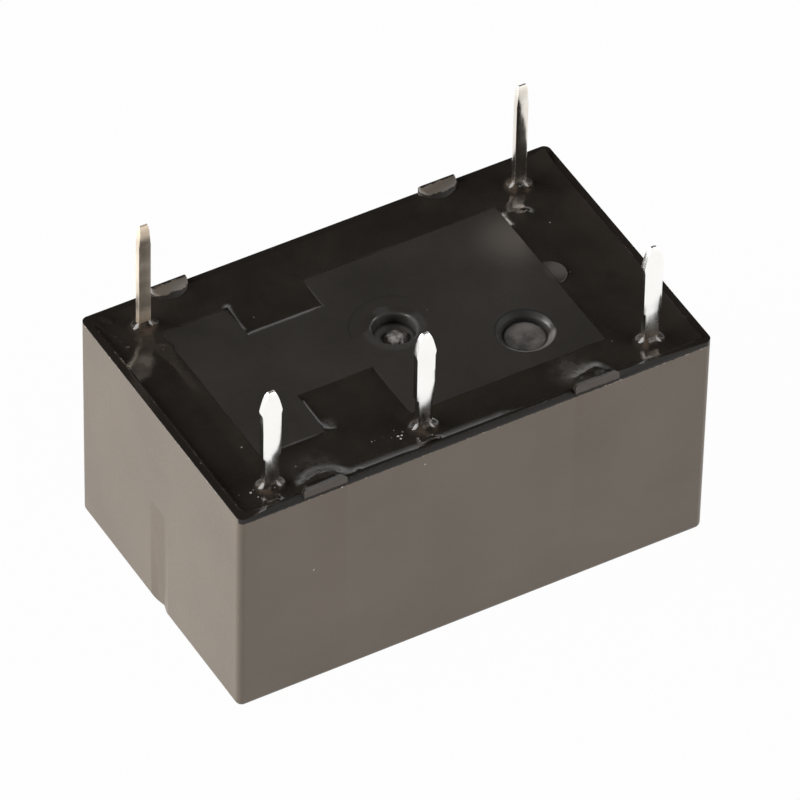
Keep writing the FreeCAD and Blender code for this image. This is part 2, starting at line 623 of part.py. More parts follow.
# Contact spring: thin leaf, wide at its root and narrow where the card holds it
leaf = new_body("moving_spring")
leaf_root = f"({end_pin_x} + Size.root_width / 2)"
leaf_taper = f"({end_pin_x} - Size.root_width / 2)"
neck_start = f"({contact_x} - Size.contact_radius)"
outline = sketch_on(leaf, "XZ_Plane", f"-{leaf_y}")
draw_polygon(outline, [(card_left, f"{middle_z} - Size.leaf_tip_height / 2"),
                       (f"{neck_start} - Size.contact_radius / 2", f"{middle_z} - Size.leaf_tip_height / 2"),
                       (neck_start, f"{middle_z} - Size.leaf_height / 2"),
                       (f"{leaf_taper} - Size.root_width / 2", f"{middle_z} - Size.leaf_height / 2"),
                       (leaf_taper, f"{middle_z} - Size.leaf_root_height / 2"),
                       (leaf_root, f"{middle_z} - Size.leaf_root_height / 2"),
                       (leaf_root, f"{middle_z} + Size.leaf_root_height / 2"),
                       (leaf_taper, f"{middle_z} + Size.leaf_root_height / 2"),
                       (f"{leaf_taper} - Size.root_width / 2", f"{middle_z} + Size.leaf_height / 2"),
                       (neck_start, f"{middle_z} + Size.leaf_height / 2"),
                       (f"{neck_start} - Size.contact_radius / 2", f"{middle_z} + Size.leaf_tip_height / 2"),
                       (card_left, f"{middle_z} + Size.leaf_tip_height / 2")])
pad(leaf, outline, "Size.leaf_thickness", middle=True)
outline = sketch_on(leaf, "XZ_Plane", f"-{leaf_y}")
draw_circle(outline, contact_x, middle_z, "Size.contact_shank_radius")
for rivet_z in root_rivets:
    draw_circle(outline, end_pin_x, rivet_z, "Size.rivet_radius + Size.fit_clearance")
pocket(leaf, outline, "2 * Size.leaf_thickness", middle=True)


# Contacts: silver rivets, each a shank in its carrier and a shallow bevelled head
def add_head(body, across, up, face_y, radius, height, bevel, side):
    """A rivet head on a plate's face; side is 1 where it stands out towards the coil."""
    outline = sketch_on(body, "XZ_Plane", f"-({face_y}) - {side} * {height} / 2")
    draw_circle(outline, across, up, radius)
    pad(body, outline, height, middle=True)
    crown_y = f"{face_y} + {side} * {height}"
    dress(body, "Chamfer", "crown", bevel, lambda edge: near(edge.BoundBox.YMin, crown_y)
          and near(edge.BoundBox.YMax, crown_y) and edge.BoundBox.ZLength > value(radius)
          and abs(edge.CenterOfMass.z - value(up)) < value(radius))


def add_shank(body, across, up, plate_y, thickness, radius):
    outline = sketch_on(body, "XZ_Plane", f"-({plate_y})")
    draw_circle(outline, across, up, radius)
    pad(body, outline, thickness, middle=True)


moving_contact = new_body("moving_contact")
add_shank(moving_contact, contact_x, middle_z, leaf_y, "Size.leaf_thickness",
          "Size.contact_shank_radius")
for face_y, side in ((leaf_front, -1), (leaf_back, 1)):
    add_head(moving_contact, contact_x, middle_z, face_y, "Size.contact_radius", "Size.contact_head",
             "Size.contact_bevel", side)

closed_contact = new_body("normally_closed_contact")
add_shank(closed_contact, contact_x, middle_z, closed_plate_y, "Size.contact_pin_thickness",
          "Size.contact_shank_radius")
add_head(closed_contact, contact_x, middle_z, closed_face_y, "Size.contact_radius", "Size.contact_head",
         "Size.contact_bevel", 1)

open_contact = new_body("normally_open_contact")
add_shank(open_contact, contact_x, middle_z, open_plate_y, "Size.contact_pin_thickness",
          "Size.contact_shank_radius")
add_head(open_contact, contact_x, middle_z, open_face_y, "Size.contact_radius", "Size.contact_head",
         "Size.contact_bevel", -1)


def add_rivet(body, across, up, low_y, high_y, side):
    """A small rivet along Y, headed on one face of the pile that it clamps and flush on the other."""
    add_shank(body, across, up, f"({low_y} + {high_y}) / 2", f"{high_y} - {low_y}", "Size.rivet_radius")
    face_y = high_y if side > 0 else low_y
    add_shank(body, across, up, f"{face_y} + {side} * Size.rivet_head / 2", "Size.rivet_head",
              "Size.rivet_head_radius")


spring_rivets = new_body("spring_rivets")
spring_rivets.AllowCompound = True
for rivet_z in root_rivets:
    add_rivet(spring_rivets, end_pin_x, rivet_z, f"({leaf_front} - Size.contact_pin_thickness)", leaf_back, 1)

# Bobbin: tube, two flanges and the two blocks that grip the coil terminals
hands = (("left", "-1"), ("right", "1"))

bobbin = new_body("bobbin")
outline = sketch_on(bobbin, "YZ_Plane")
draw_circle(outline, coil_y, middle_z, tube_radius)
pad(bobbin, outline, f"2 * {spool_end}", middle=True)
for hand, side in hands:
    outline = sketch_on(bobbin, "YZ_Plane", f"{side} * ({spool_end} + Size.flange_thickness / 2)")
    draw_centred_rectangle(outline, flange_width, flange_height, coil_y, middle_z)
    pad(bobbin, outline, "Size.flange_thickness", middle=True)
dress(bobbin, "Fillet", "flange_corners", "Size.flange_corner_radius",
      lambda edge: runs_along(edge, 0) and edge.CenterOfMass.z < value(middle_z))
for hand, side in hands:
    outline = sketch_on(bobbin, "XY_Plane", block_bottom)
    draw_rectangle(outline, f"{side} * {spool_end}",
                   f"{side} * ({flange_outer} + Size.block_length)",
                   f"{flange_back} - Size.block_width", flange_back)
    pad(bobbin, outline, f"{plate_bottom} - {block_bottom}")
outline = sketch_on(bobbin, "YZ_Plane")
draw_circle(outline, coil_y, middle_z, core_hole_radius)
pocket(bobbin, outline, "Size.case_length", middle=True)
outline = sketch_on(bobbin, "XY_Plane", plate_bottom)
for across, up in coil_pins:
    draw_centred_rectangle(outline, "Size.coil_pin_width + 2 * Size.fit_clearance",
                           "Size.coil_pin_thickness + 2 * Size.fit_clearance", across, up)
pocket(bobbin, outline, f"{plate_bottom} - {block_bottom}")
outline = sketch_on(bobbin, "YZ_Plane")
draw_rectangle(outline, f"{lead_y} - 2 * Size.lead_radius", f"{flange_back} + Size.lead_radius",
               f"{lead_z} - 2 * Size.lead_radius", f"{lead_z} + 2 * Size.lead_radius")
pocket(bobbin, outline, "Size.case_length", middle=True)

# Winding and its tape
spool_length = f"2 * ({spool_end} - Size.fit_clearance)"
winding = new_body("coil_winding")
outline = sketch_on(winding, "YZ_Plane")
draw_circle(outline, coil_y, middle_z, winding_radius)
draw_circle(outline, coil_y, middle_z, tube_radius)
pad(winding, outline, spool_length, middle=True)

tape = new_body("coil_tape")
outline = sketch_on(tape, "YZ_Plane")
draw_circle(outline, coil_y, middle_z, tape_radius)
draw_circle(outline, coil_y, middle_z, winding_radius)
pad(tape, outline, spool_length, middle=True)

# Leads: each runs over the tape, through the flange's slot and into the solder on its terminal
for hand, side in hands:
    lead = new_body(f"coil_lead_{hand}")
    lead_end = f"({end_pin_x} + Size.coil_pin_width / 2)"
    lead_length = f"({lead_end} - {spool_end} + Size.lead_overlap)"
    outline = sketch_on(lead, "YZ_Plane", f"{side} * ({lead_end} - {lead_length} / 2)")
    draw_circle(outline, lead_y, lead_z, "Size.lead_radius")
    pad(lead, outline, lead_length, middle=True)

    solder = new_body(f"coil_solder_{hand}")
    outline = sketch_on(solder, "XY_Plane", f"{lead_z} - Size.solder_height / 2")
    draw_centred_rectangle(outline, "Size.solder_width", "Size.solder_width", f"{side} * {end_pin_x}",
                           f"({lead_y} + {row_y}) / 2")
    pad(solder, outline, "Size.solder_height")
    dress(solder, "Chamfer", "rounding", "Size.solder_bevel", lambda edge: True)
    outline = sketch_on(solder, "XY_Plane", f"{lead_z} + Size.solder_height / 2")
    draw_centred_rectangle(outline, "Size.coil_pin_width", "Size.coil_pin_thickness",
                           f"{side} * {end_pin_x}", row_y)
    pocket(solder, outline, "Size.solder_height")
    outline = sketch_on(solder, "YZ_Plane", f"{side} * ({lead_end} - {lead_length} / 2)")
    draw_circle(outline, lead_y, lead_z, "Size.lead_radius")
    pocket(solder, outline, lead_length, middle=True)

# Core, pole plate and yoke: soft iron
core = new_body("core")
outline = sketch_on(core, "YZ_Plane")
draw_circle(outline, coil_y, middle_z, "Size.core_radius")
pad(core, outline, f"2 * {iron_outer}", middle=True)
dress(core, "Chamfer", "ends", "Size.core_bevel", lambda edge: near(abs(edge.CenterOfMass.x), iron_outer))


def iron_plate(label, side, front_y):
    """A plate on one end of the core, down to the armature."""
    plate = new_body(label)
    outline = sketch_on(plate, "YZ_Plane", f"{side} * {iron_middle}")
    draw_rectangle(outline, front_y, iron_back, f"{middle_z} - {iron_height} / 2",
                   f"{middle_z} + {iron_height} / 2")
    pad(plate, outline, "Size.iron_thickness", middle=True)
    dress(plate, "Chamfer", "corners", "Size.iron_bevel",
          lambda edge: runs_along(edge, 0) and near(edge.CenterOfMass.y, iron_back))
    outline = sketch_on(plate, "YZ_Plane", f"{side} * {iron_middle}")
    draw_circle(outline, coil_y, middle_z, core_hole_radius)
    pocket(plate, outline, "2 * Size.iron_thickness", middle=True)
    return plate


iron_plate("pole_plate", "-1", f"{armature_back} + Size.air_gap")
yoke = iron_plate("yoke", "1", f"{armature_back} + Size.hinge_gap")

# Armature: flat lever beside the coil, with a tongue at its tip for the card
armature = new_body("armature")
hinge_end = f"({iron_outer} - Size.hinge_gap)"
outline = sketch_on(armature, "XZ_Plane", f"-{armature_y}")
draw_polygon(outline, [(card_left, f"{middle_z} - Size.tongue_height / 2"),
                       (f"-{iron_outer}", f"{middle_z} - Size.tongue_height / 2"),
                       (f"-{iron_outer}", f"{middle_z} - {armature_height} / 2"),
                       (hinge_end, f"{middle_z} - {armature_height} / 2"),
                       (hinge_end, f"{middle_z} + {armature_height} / 2"),
                       (f"-{iron_outer}", f"{middle_z} + {armature_height} / 2"),
                       (f"-{iron_outer}", f"{middle_z} + Size.tongue_height / 2"),
                       (card_left, f"{middle_z} + Size.tongue_height / 2")])
pad(armature, outline, "Size.armature_thickness", middle=True)

# Hinge spring: a leaf bent round the armature's hinge end, riveted to the armature and to the yoke
hinge_front = f"({armature_front} - Size.hinge_leaf)"
hinge_leaf_end = f"({coil_y} - Size.core_radius - Size.hinge_leaf_space)"
hinge_spring = new_body("hinge_spring")
outline = sketch_on(hinge_spring, "XY_Plane", f"{middle_z} - Size.hinge_leaf_height / 2")
draw_polygon(outline, [(f"{iron_outer} - Size.hinge_leaf_reach", hinge_front),
                       (f"{iron_outer} + Size.hinge_leaf", hinge_front),
                       (f"{iron_outer} + Size.hinge_leaf", hinge_leaf_end),
                       (iron_outer, hinge_leaf_end),
                       (iron_outer, armature_front),
                       (f"{iron_outer} - Size.hinge_leaf_reach", armature_front)])
pad(hinge_spring, outline, "Size.hinge_leaf_height")

armature_rivet_x = f"({iron_outer} - 0.75 * Size.hinge_leaf_reach)"
yoke_rivet_y = f"({hinge_leaf_end} - 1.5 * Size.rivet_head_radius)"
hinge_rivet_heights = [f"({middle_z} - Size.hinge_leaf_height / 4)",
                       f"({middle_z} + Size.hinge_leaf_height / 4)"]
rivet_hole_radius = "Size.rivet_radius + Size.fit_clearance"

for body in (armature, hinge_spring):
    outline = sketch_on(body, "XZ_Plane", f"-{armature_front}")
    for rivet_z in hinge_rivet_heights:
        draw_circle(outline, armature_rivet_x, rivet_z, rivet_hole_radius)
    pocket(body, outline, "4 * Size.armature_thickness", middle=True)
for body in (yoke, hinge_spring):
    outline = sketch_on(body, "YZ_Plane", iron_outer)
    for rivet_z in hinge_rivet_heights:
        draw_circle(outline, yoke_rivet_y, rivet_z, rivet_hole_radius)
    pocket(body, outline, "2 * Size.iron_thickness + Size.hinge_leaf", middle=True)

armature_rivets = new_body("armature_rivets")
armature_rivets.AllowCompound = True
for rivet_z in hinge_rivet_heights:
    add_rivet(armature_rivets, armature_rivet_x, rivet_z, hinge_front, armature_back, -1)

yoke_rivets = new_body("yoke_rivets")
yoke_rivets.AllowCompound = True
outline = sketch_on(yoke_rivets, "YZ_Plane", iron_inner)
for rivet_z in hinge_rivet_heights:
    draw_circle(outline, yoke_rivet_y, rivet_z, "Size.rivet_radius")
pad(yoke_rivets, outline, "Size.iron_thickness + Size.hinge_leaf")
outline = sketch_on(yoke_rivets, "YZ_Plane", f"{iron_outer} + Size.hinge_leaf")
for rivet_z in hinge_rivet_heights:
    draw_circle(outline, yoke_rivet_y, rivet_z, "Size.rivet_head_radius")
pad(yoke_rivets, outline, "Size.rivet_head")

# Card: small moulding with one window for the armature's tongue and one for the contact spring
card = new_body("card")
card_middle = f"({card_right} + {card_left}) / 2"
outline = sketch_on(card, "YZ_Plane", card_middle)
draw_rectangle(outline, f"{leaf_y} - Size.fork_reach", f"{armature_back} + Size.card_back",
               f"{middle_z} - Size.card_height / 2", f"{middle_z} + Size.card_height / 2")
pad(card, outline, "Size.card_length", middle=True)
outline = sketch_on(card, "YZ_Plane", card_middle)
draw_centred_rectangle(outline, "Size.armature_thickness + 2 * Size.fit_clearance",
                       "Size.tongue_height + 2 * Size.fit_clearance", armature_y, middle_z)
draw_centred_rectangle(outline, "Size.leaf_thickness + 2 * Size.fork_clearance",
                       "Size.leaf_tip_height + 2 * Size.fork_clearance", leaf_y, middle_z)
pocket(card, outline, "2 * Size.card_length", middle=True)
dress(card, "Fillet", "corners", "Size.card_corner_radius",
      lambda edge: runs_along(edge, 0) and near(abs(edge.CenterOfMass.z - value(middle_z)),
                                                "Size.card_height / 2"))

doc.recompute()
for item in doc.Objects:
    if "Invalid" in item.State or "Error" in item.State:
        raise ValueError(f"{item.Name} failed")
for body in pieces:
    if body.Shape.isNull() or not body.Shape.isValid():
        raise ValueError(f"{body.Label} has no valid shape")

os.makedirs("parts", exist_ok=True)
for body in pieces:
    body.Shape.exportStep(f"parts/{body.Label}.step")
    print(f"{body.Label}: {len(body.Shape.Solids)} solid, {body.Shape.Volume:.3f} cubic mm")
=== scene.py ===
import math

import bmesh
import bpy
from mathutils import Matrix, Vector


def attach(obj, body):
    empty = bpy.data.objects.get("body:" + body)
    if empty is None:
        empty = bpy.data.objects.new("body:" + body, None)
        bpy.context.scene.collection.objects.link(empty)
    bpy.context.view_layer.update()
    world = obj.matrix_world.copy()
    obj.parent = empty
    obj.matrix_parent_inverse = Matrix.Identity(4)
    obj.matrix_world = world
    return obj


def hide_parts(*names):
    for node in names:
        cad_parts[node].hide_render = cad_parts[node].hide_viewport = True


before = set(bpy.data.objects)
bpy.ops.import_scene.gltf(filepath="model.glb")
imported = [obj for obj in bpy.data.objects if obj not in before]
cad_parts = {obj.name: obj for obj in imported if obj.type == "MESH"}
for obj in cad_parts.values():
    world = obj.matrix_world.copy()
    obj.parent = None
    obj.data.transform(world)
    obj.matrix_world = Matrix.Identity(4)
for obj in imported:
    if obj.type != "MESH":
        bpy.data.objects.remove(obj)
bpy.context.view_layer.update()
mm = 0.001

# Camera
# A long lens a foot away from the relay, looking down on its open side
# past the front left corner, with the pins pointing up.
camera_data = bpy.data.cameras.new("camera")
camera_data.lens = 465.34
camera_data.sensor_width = 36
camera_data.clip_start = 0.02
camera_data.clip_end = 20
camera = bpy.data.objects.new("camera", camera_data)
bpy.context.scene.collection.objects.link(camera)
camera.location = (-0.1115854, -0.1893151, 0.2156206)
camera.rotation_euler = [math.radians(turn) for turn in (46.186956, -0.948811, -29.646022)]
bpy.context.scene.camera = camera
bpy.context.scene.view_settings.view_transform = "Standard"


# Studio
# A white table that runs up behind the relay, a dim ceiling and two soft lamps.
# The table shows white to the camera and in the metal, and still takes a shadow.
def new_nodes(owner):
    """The owner's node tree, emptied."""
    owner.use_nodes = True
    tree = owner.node_tree
    tree.nodes.clear()
    return tree


def add_node(tree, kind, values=(), **settings):
    """Add a shader node, with its settings by name and its values by socket name."""
    node = tree.nodes.new("ShaderNode" + kind)
    for name, setting in settings.items():
        setattr(node, name, setting)
    for socket, number in dict(values).items():
        node.inputs[socket].default_value = number
    return node


def white_rays(tree):
    """1 for what the camera, a reflection or clear glass sees directly."""
    path = add_node(tree, "LightPath")
    both = add_node(tree, "Math", operation="ADD", use_clamp=True)
    tree.links.new(path.outputs["Is Camera Ray"], both.inputs[0])
    tree.links.new(path.outputs["Is Glossy Ray"], both.inputs[1])
    rays = add_node(tree, "Math", operation="ADD", use_clamp=True)
    tree.links.new(both.outputs[0], rays.inputs[0])
    tree.links.new(path.outputs["Is Transmission Ray"], rays.inputs[1])
    return rays.outputs[0]


world = bpy.data.worlds.new("studio")
bpy.context.scene.world = world
tree = new_nodes(world)
direction = add_node(tree, "TexCoord")
split = add_node(tree, "SeparateXYZ")
tree.links.new(direction.outputs["Generated"], split.inputs[0])
ceiling = add_node(tree, "ValToRGB")
ceiling.color_ramp.elements[0].position = 0.16
ceiling.color_ramp.elements[0].color = (1, 1, 1, 1)
ceiling.color_ramp.elements[1].position = 0.42
ceiling.color_ramp.elements[1].color = (0.022, 0.020, 0.018, 1)
tree.links.new(split.outputs["Z"], ceiling.inputs[0])
around = add_node(tree, "Background", {"Strength": 1.0})
tree.links.new(ceiling.outputs[0], around.inputs["Color"])
behind = add_node(tree, "Background", {"Color": (1, 1, 1, 1), "Strength": 1.0})
seen = add_node(tree, "MixShader")
path = add_node(tree, "LightPath")
tree.links.new(path.outputs["Is Camera Ray"], seen.inputs[0])
tree.links.new(around.outputs[0], seen.inputs[1])
tree.links.new(behind.outputs[0], seen.inputs[2])
tree.links.new(seen.outputs[0], add_node(tree, "OutputWorld").inputs["Surface"])

bpy.ops.mesh.primitive_plane_add(size=1.6)
table = bpy.context.object
table.name = "table"
table_white = bpy.data.materials.new("table_white")
tree = new_nodes(table_white)
paint = add_node(tree, "BsdfDiffuse", {"Color": (0.45, 0.45, 0.45, 1)})
glow = add_node(tree, "Emission", {"Color": (1, 1, 1, 1), "Strength": 1.0})
share = add_node(tree, "Math", operation="MULTIPLY")
share.inputs[1].default_value = 0.98
rays = white_rays(tree)
tree.links.new(rays, share.inputs[0])
mix = add_node(tree, "MixShader")
tree.links.new(share.outputs[0], mix.inputs[0])
tree.links.new(paint.outputs[0], mix.inputs[1])
tree.links.new(glow.outputs[0], mix.inputs[2])
tree.links.new(mix.outputs[0], add_node(tree, "OutputMaterial").inputs["Surface"])
table.data.materials.append(table_white)


def soft_lamp(name, place, size, power):
    """A rectangular lamp that faces the middle of the relay."""
    aim = Vector((0, 0, 0.004))
    data = bpy.data.lights.new(name, "AREA")
    data.shape = "RECTANGLE"
    data.size, data.size_y = size
    data.energy = power
    lamp = bpy.data.objects.new(name, data)
    bpy.context.scene.collection.objects.link(lamp)
    lamp.location = place
    lamp.rotation_euler = (aim - Vector(place)).to_track_quat("-Z", "Y").to_euler()


soft_lamp("left_lamp", (-0.375, 0.122, 0.144), (0.42, 0.21), 2.5)
soft_lamp("front_lamp", (0.326, -0.245, 0.19), (0.36, 0.16), 1.20)


# Case
# The outer shell is one moulding in black glass-filled plastic, matt from a
# fine spark-eroded mould, open on the pin side, with four stand-off feet.
def start_edit(piece):
    bpy.ops.object.select_all(action="DESELECT")
    piece.select_set(True)
    bpy.context.view_layer.objects.active = piece
    bpy.ops.object.mode_set(mode="EDIT")
    bpy.ops.mesh.select_all(action="DESELECT")


def end_edit():
    bpy.ops.object.mode_set(mode="OBJECT")


def pick(piece, kind, wanted):
    """In edit mode, select the vertices, edges or faces that pass the wanted test."""
    bpy.ops.mesh.select_mode(type=kind)
    bpy.ops.mesh.select_all(action="DESELECT")
    mesh = bmesh.from_edit_mesh(piece.data)
    for item in {"VERT": mesh.verts, "EDGE": mesh.edges, "FACE": mesh.faces}[kind]:
        if wanted(item):
            item.select_set(True)
    mesh.select_flush_mode()
    bmesh.update_edit_mesh(piece.data)


def middle(edge):
    return (edge.verts[0].co + edge.verts[1].co) / 2


def at_height(edge, height):
    return all(abs(vert.co.z - height) < 0.002 * mm for vert in edge.verts)


def cut_across(normal, distance):
    """Cut the whole mesh across at a distance from the middle, and keep both sides."""
    bpy.ops.mesh.select_all(action="SELECT")
    bpy.ops.mesh.bisect(plane_co=Vector(normal) * distance, plane_no=normal, threshold=0.0001 * mm)


def copy_of(node, name):
    """A piece with the node's own shape, its loose triangles merged into clean faces."""
    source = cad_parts[node]
    piece = bpy.data.objects.new(name, source.data.copy())
    piece.data.materials.clear()
    bpy.context.scene.collection.objects.link(piece)
    start_edit(piece)
    bpy.ops.mesh.select_all(action="SELECT")
    bpy.ops.mesh.remove_doubles(threshold=0.0005 * mm)
    bpy.ops.mesh.dissolve_limited(angle_limit=math.radians(0.5))
    end_edit()
    return piece


def use_modifier(piece, kind, **settings):
    """Give a piece a modifier and apply it."""
    bpy.context.view_layer.objects.active = piece
    modifier = piece.modifiers.new(kind.lower(), kind)
    for name, setting in settings.items():
        setattr(modifier, name, setting)
    bpy.ops.object.modifier_apply(modifier=modifier.name)


def put_in_place(piece, body, nodes, material, smooth=35):
    """Shade a finished piece, give it its material and let it stand for its nodes."""
    bpy.ops.object.select_all(action="DESELECT")
    piece.select_set(True)
    bpy.context.view_layer.objects.active = piece
    bpy.ops.object.shade_smooth_by_angle(angle=math.radians(smooth))
    use_modifier(piece, "WEIGHTED_NORMAL", keep_sharp=True)
    piece.data.materials.clear()
    piece.data.materials.append(material)
    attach(piece, body)
    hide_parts(*nodes)


def start_finish(name):
    """A material, its shader and a socket with the surface's place in millimetres."""
    material = bpy.data.materials.new(name)
    tree = new_nodes(material)
    shader = add_node(tree, "BsdfPrincipled")
    tree.links.new(shader.outputs[0], add_node(tree, "OutputMaterial").inputs["Surface"])
    place = add_node(tree, "TexCoord")
    scale = add_node(tree, "Mapping", {"Scale": (1000, 1000, 1000)})
    tree.links.new(place.outputs["Object"], scale.inputs["Vector"])
    return material, tree, shader, scale.outputs[0]


def start_group(name, inputs, outputs):
    """A shader node group with its sockets, ready to be filled."""
    group = bpy.data.node_groups.new(name, "ShaderNodeTree")
    for label, kind, number in inputs:
        socket = group.interface.new_socket(label, in_out="INPUT", socket_type="NodeSocket" + kind)
        if number is not None:
            socket.default_value = number
    for label, kind in outputs:
        group.interface.new_socket(label, in_out="OUTPUT", socket_type="NodeSocket" + kind)
    return group, group.nodes.new("NodeGroupInput"), group.nodes.new("NodeGroupOutput")


def place_group(tree, group, values=(), **links):
    node = tree.nodes.new("ShaderNodeGroup")
    node.node_tree = group
    for socket, number in dict(values).items():
        node.inputs[socket].default_value = number
    for socket, source in links.items():
        tree.links.new(source, node.inputs[socket])
    return node


def mix_colour(tree, factor, low, high, how="MIX"):
    """Mix two colours, each a socket or plain red, green and blue."""
    node = add_node(tree, "Mix", data_type="RGBA", blend_type=how)
    for source, socket in ((factor, 0), (low, 6), (high, 7)):
        if isinstance(source, bpy.types.NodeSocket):
            tree.links.new(source, node.inputs[socket])
        elif socket:
            node.inputs[socket].default_value = (*source, 1)
        else:
            node.inputs[socket].default_value = source
    return node.outputs[2]


def spread(tree, source, low, high, new_low, new_high, kind="LINEAR"):
    """Stretch a value's range to a new one, held inside it."""
    node = add_node(tree, "MapRange", interpolation_type=kind)
    tree.links.new(source, node.inputs["Value"])
    for socket, number in zip(("From Min", "From Max", "To Min", "To Max"), (low, high, new_low, new_high)):
        node.inputs[socket].default_value = number
    return node.outputs[0]


def two_tone(tree, source, dark, light, start=0.35, end=0.65):
    """Two colours that follow a pattern, all dark at its start and all light at its end."""
    return mix_colour(tree, spread(tree, source, start, end, 0, 1), dark, light)


def grey(level):
    return (level, level, level)


def combine(tree, first, second, how="ADD"):
    """One value made of two, each a socket or a number."""
    node = add_node(tree, "Math", operation=how)
    for index, source in enumerate((first, second)):
        if isinstance(source, bpy.types.NodeSocket):
            tree.links.new(source, node.inputs[index])
        else:
            node.inputs[index].default_value = source
    return node.outputs[0]


def near_point(tree, place, centre, radius, blur):
    """1 within a radius, in millimetres, of an upright axis through the centre, in metres."""
    flat = add_node(tree, "VectorMath", operation="MULTIPLY")
    flat.inputs[1].default_value = (1, 1, 0)
    tree.links.new(place, flat.inputs[0])
    reach = add_node(tree, "VectorMath", operation="DISTANCE")
    reach.inputs[1].default_value = (centre[0] / mm, centre[1] / mm, 0)
    tree.links.new(flat.outputs[0], reach.inputs[0])
    return spread(tree, reach.outputs["Value"], radius, radius + blur, 1, 0, "SMOOTHSTEP")


def bump(tree, shader, height, depth):
    """Feed a height to the shader's normal, depth in metres."""
    node = add_node(tree, "Bump", {"Strength": 1.0, "Distance": depth})
    tree.links.new(height, node.inputs["Height"])
    tree.links.new(node.outputs[0], shader.inputs["Normal"])


# Fine grain that a mould leaves on plastic, with slow changes of tone
moulded_grain, ins, outs = start_group(
    "moulded_grain",
    [("Place", "Vector", None), ("Grain", "Float", 14.0), ("Cloud", "Float", 0.35)],
    [("Height", "Float"), ("Tone", "Float")])
fine = add_node(moulded_grain, "TexNoise", {"Detail": 5.0, "Roughness": 0.62})
moulded_grain.links.new(ins.outputs["Place"], fine.inputs["Vector"])
moulded_grain.links.new(ins.outputs["Grain"], fine.inputs["Scale"])
slow = add_node(moulded_grain, "TexNoise", {"Detail": 3.0, "Roughness": 0.5})
moulded_grain.links.new(ins.outputs["Place"], slow.inputs["Vector"])
moulded_grain.links.new(ins.outputs["Cloud"], slow.inputs["Scale"])
moulded_grain.links.new(fine.outputs["Fac"], outs.inputs["Height"])
both = combine(moulded_grain, combine(moulded_grain, fine.outputs["Fac"], 0.3, "MULTIPLY"),
               combine(moulded_grain, slow.outputs["Fac"], 0.7, "MULTIPLY"))
moulded_grain.links.new(both, outs.inputs["Tone"])

# Specks of pale dust, each a small round spot in its own cell
dust, ins, outs = start_group(
    "dust",
    [("Place", "Vector", None), ("Cells", "Float", 1.2), ("Share", "Float", 0.2), ("Radius", "Float", 0.05)],
    [("Mask", "Float")])
cells = add_node(dust, "TexVoronoi")
dust.links.new(ins.outputs["Place"], cells.inputs["Vector"])
dust.links.new(ins.outputs["Cells"], cells.inputs["Scale"])
chance = add_node(dust, "SeparateColor")
dust.links.new(cells.outputs["Color"], chance.inputs[0])
kept = combine(dust, chance.outputs[0], ins.outputs["Share"], "LESS_THAN")
size = combine(dust, chance.outputs[1], ins.outputs["Radius"], "MULTIPLY")
spot = combine(dust, cells.outputs["Distance"], size, "LESS_THAN")
dust.links.new(combine(dust, kept, spot, "MULTIPLY"), outs.inputs["Mask"])

rim_z, wall = 7.7 * mm, 0.4 * mm
half_long, half_wide = 15.83 / 2 * mm, 9.66 / 2 * mm
inside_long, inside_wide = half_long - wall, half_wide - wall
foot_radius, foot_top_z = 0.62 * mm, 7.94 * mm
foot_places = [(-5.0 * mm, -1), (-5.0 * mm, 1), (4.1 * mm, -1), (4.1 * mm, 1)]
# Where each front foot ends on the right, and how much wider it is to the left
front_foot_stretch = {-5.0 * mm: (-4.38 * mm, 1.12), 4.1 * mm: (4.72 * mm, 1.16)}

case_finish, tree, shader, place = start_finish("black_moulded_case")
grain = place_group(tree, moulded_grain, {"Grain": 9.0, "Cloud": 0.3}, Place=place)
tone = two_tone(tree, grain.outputs["Tone"], (0.136, 0.109, 0.083), (0.162, 0.131, 0.101))
specks = place_group(tree, dust, {"Cells": 1.1, "Share": 0.10, "Radius": 0.055}, Place=place)
tone = mix_colour(tree, specks.outputs[0], tone, (0.6, 0.57, 0.52))
part = add_node(tree, "SeparateXYZ")
tree.links.new(place, part.inputs[0])
ragged = place_group(tree, moulded_grain, {"Grain": 6.0, "Cloud": 2.5}, Place=place)
edge_height = combine(tree, part.outputs["Z"], combine(tree, ragged.outputs["Height"], 0.10, "MULTIPLY"))
out_x = combine(tree, part.outputs["X"], 0, "ABSOLUTE")
out_y = combine(tree, part.outputs["Y"], 0, "ABSOLUTE")
on_front = spread(tree, part.outputs["Y"], -4.62, -4.60, 1, 0)
front = combine(tree, on_front, spread(tree, out_x, 7.89, 7.90, 1, 0), "MULTIPLY")
outside = combine(tree, spread(tree, out_x, 7.88, 7.90, 0, 1), spread(tree, out_y, 4.795, 4.815, 0, 1), "MAXIMUM")
corners = spread(tree, combine(tree, out_x, out_y), 12.20, 12.22, 0, 1)
outside = combine(tree, outside, corners, "MAXIMUM")
feet = 0.0
for x, side in foot_places:
    edge_x, stretch = front_foot_stretch[x] if side < 0 else (x + foot_radius, 1)
    spot = (edge_x - foot_radius * stretch, side * half_wide)
    feet = combine(tree, feet, near_point(tree, place, spot, foot_radius / mm * stretch, 0.02), "MAXIMUM")
over_start = combine(tree, edge_height, combine(tree, front, 0.16, "MULTIPLY"))
on_edge = spread(tree, over_start, 7.72, 7.735, 0, 1)
over_plate = spread(tree, part.outputs["Z"], 7.15, 7.2, 0, 1)
inner = combine(tree, spread(tree, outside, 0, 1, 1, 0), over_plate, "MULTIPLY")
foot_side = combine(tree, feet, spread(tree, over_start, 7.84, 7.855, 0, 1), "MULTIPLY")
foot_side = combine(tree, foot_side, spread(tree, edge_height, 7.965, 7.98, 1, 0), "MULTIPLY")
facing = combine(tree, outside, spread(tree, part.outputs["Y"], -0.1, 0.1, 0, 1), "MAXIMUM")
foot_side = combine(tree, foot_side, facing, "MULTIPLY")
off_foot_side = spread(tree, foot_side, 0, 1, 1, 0)
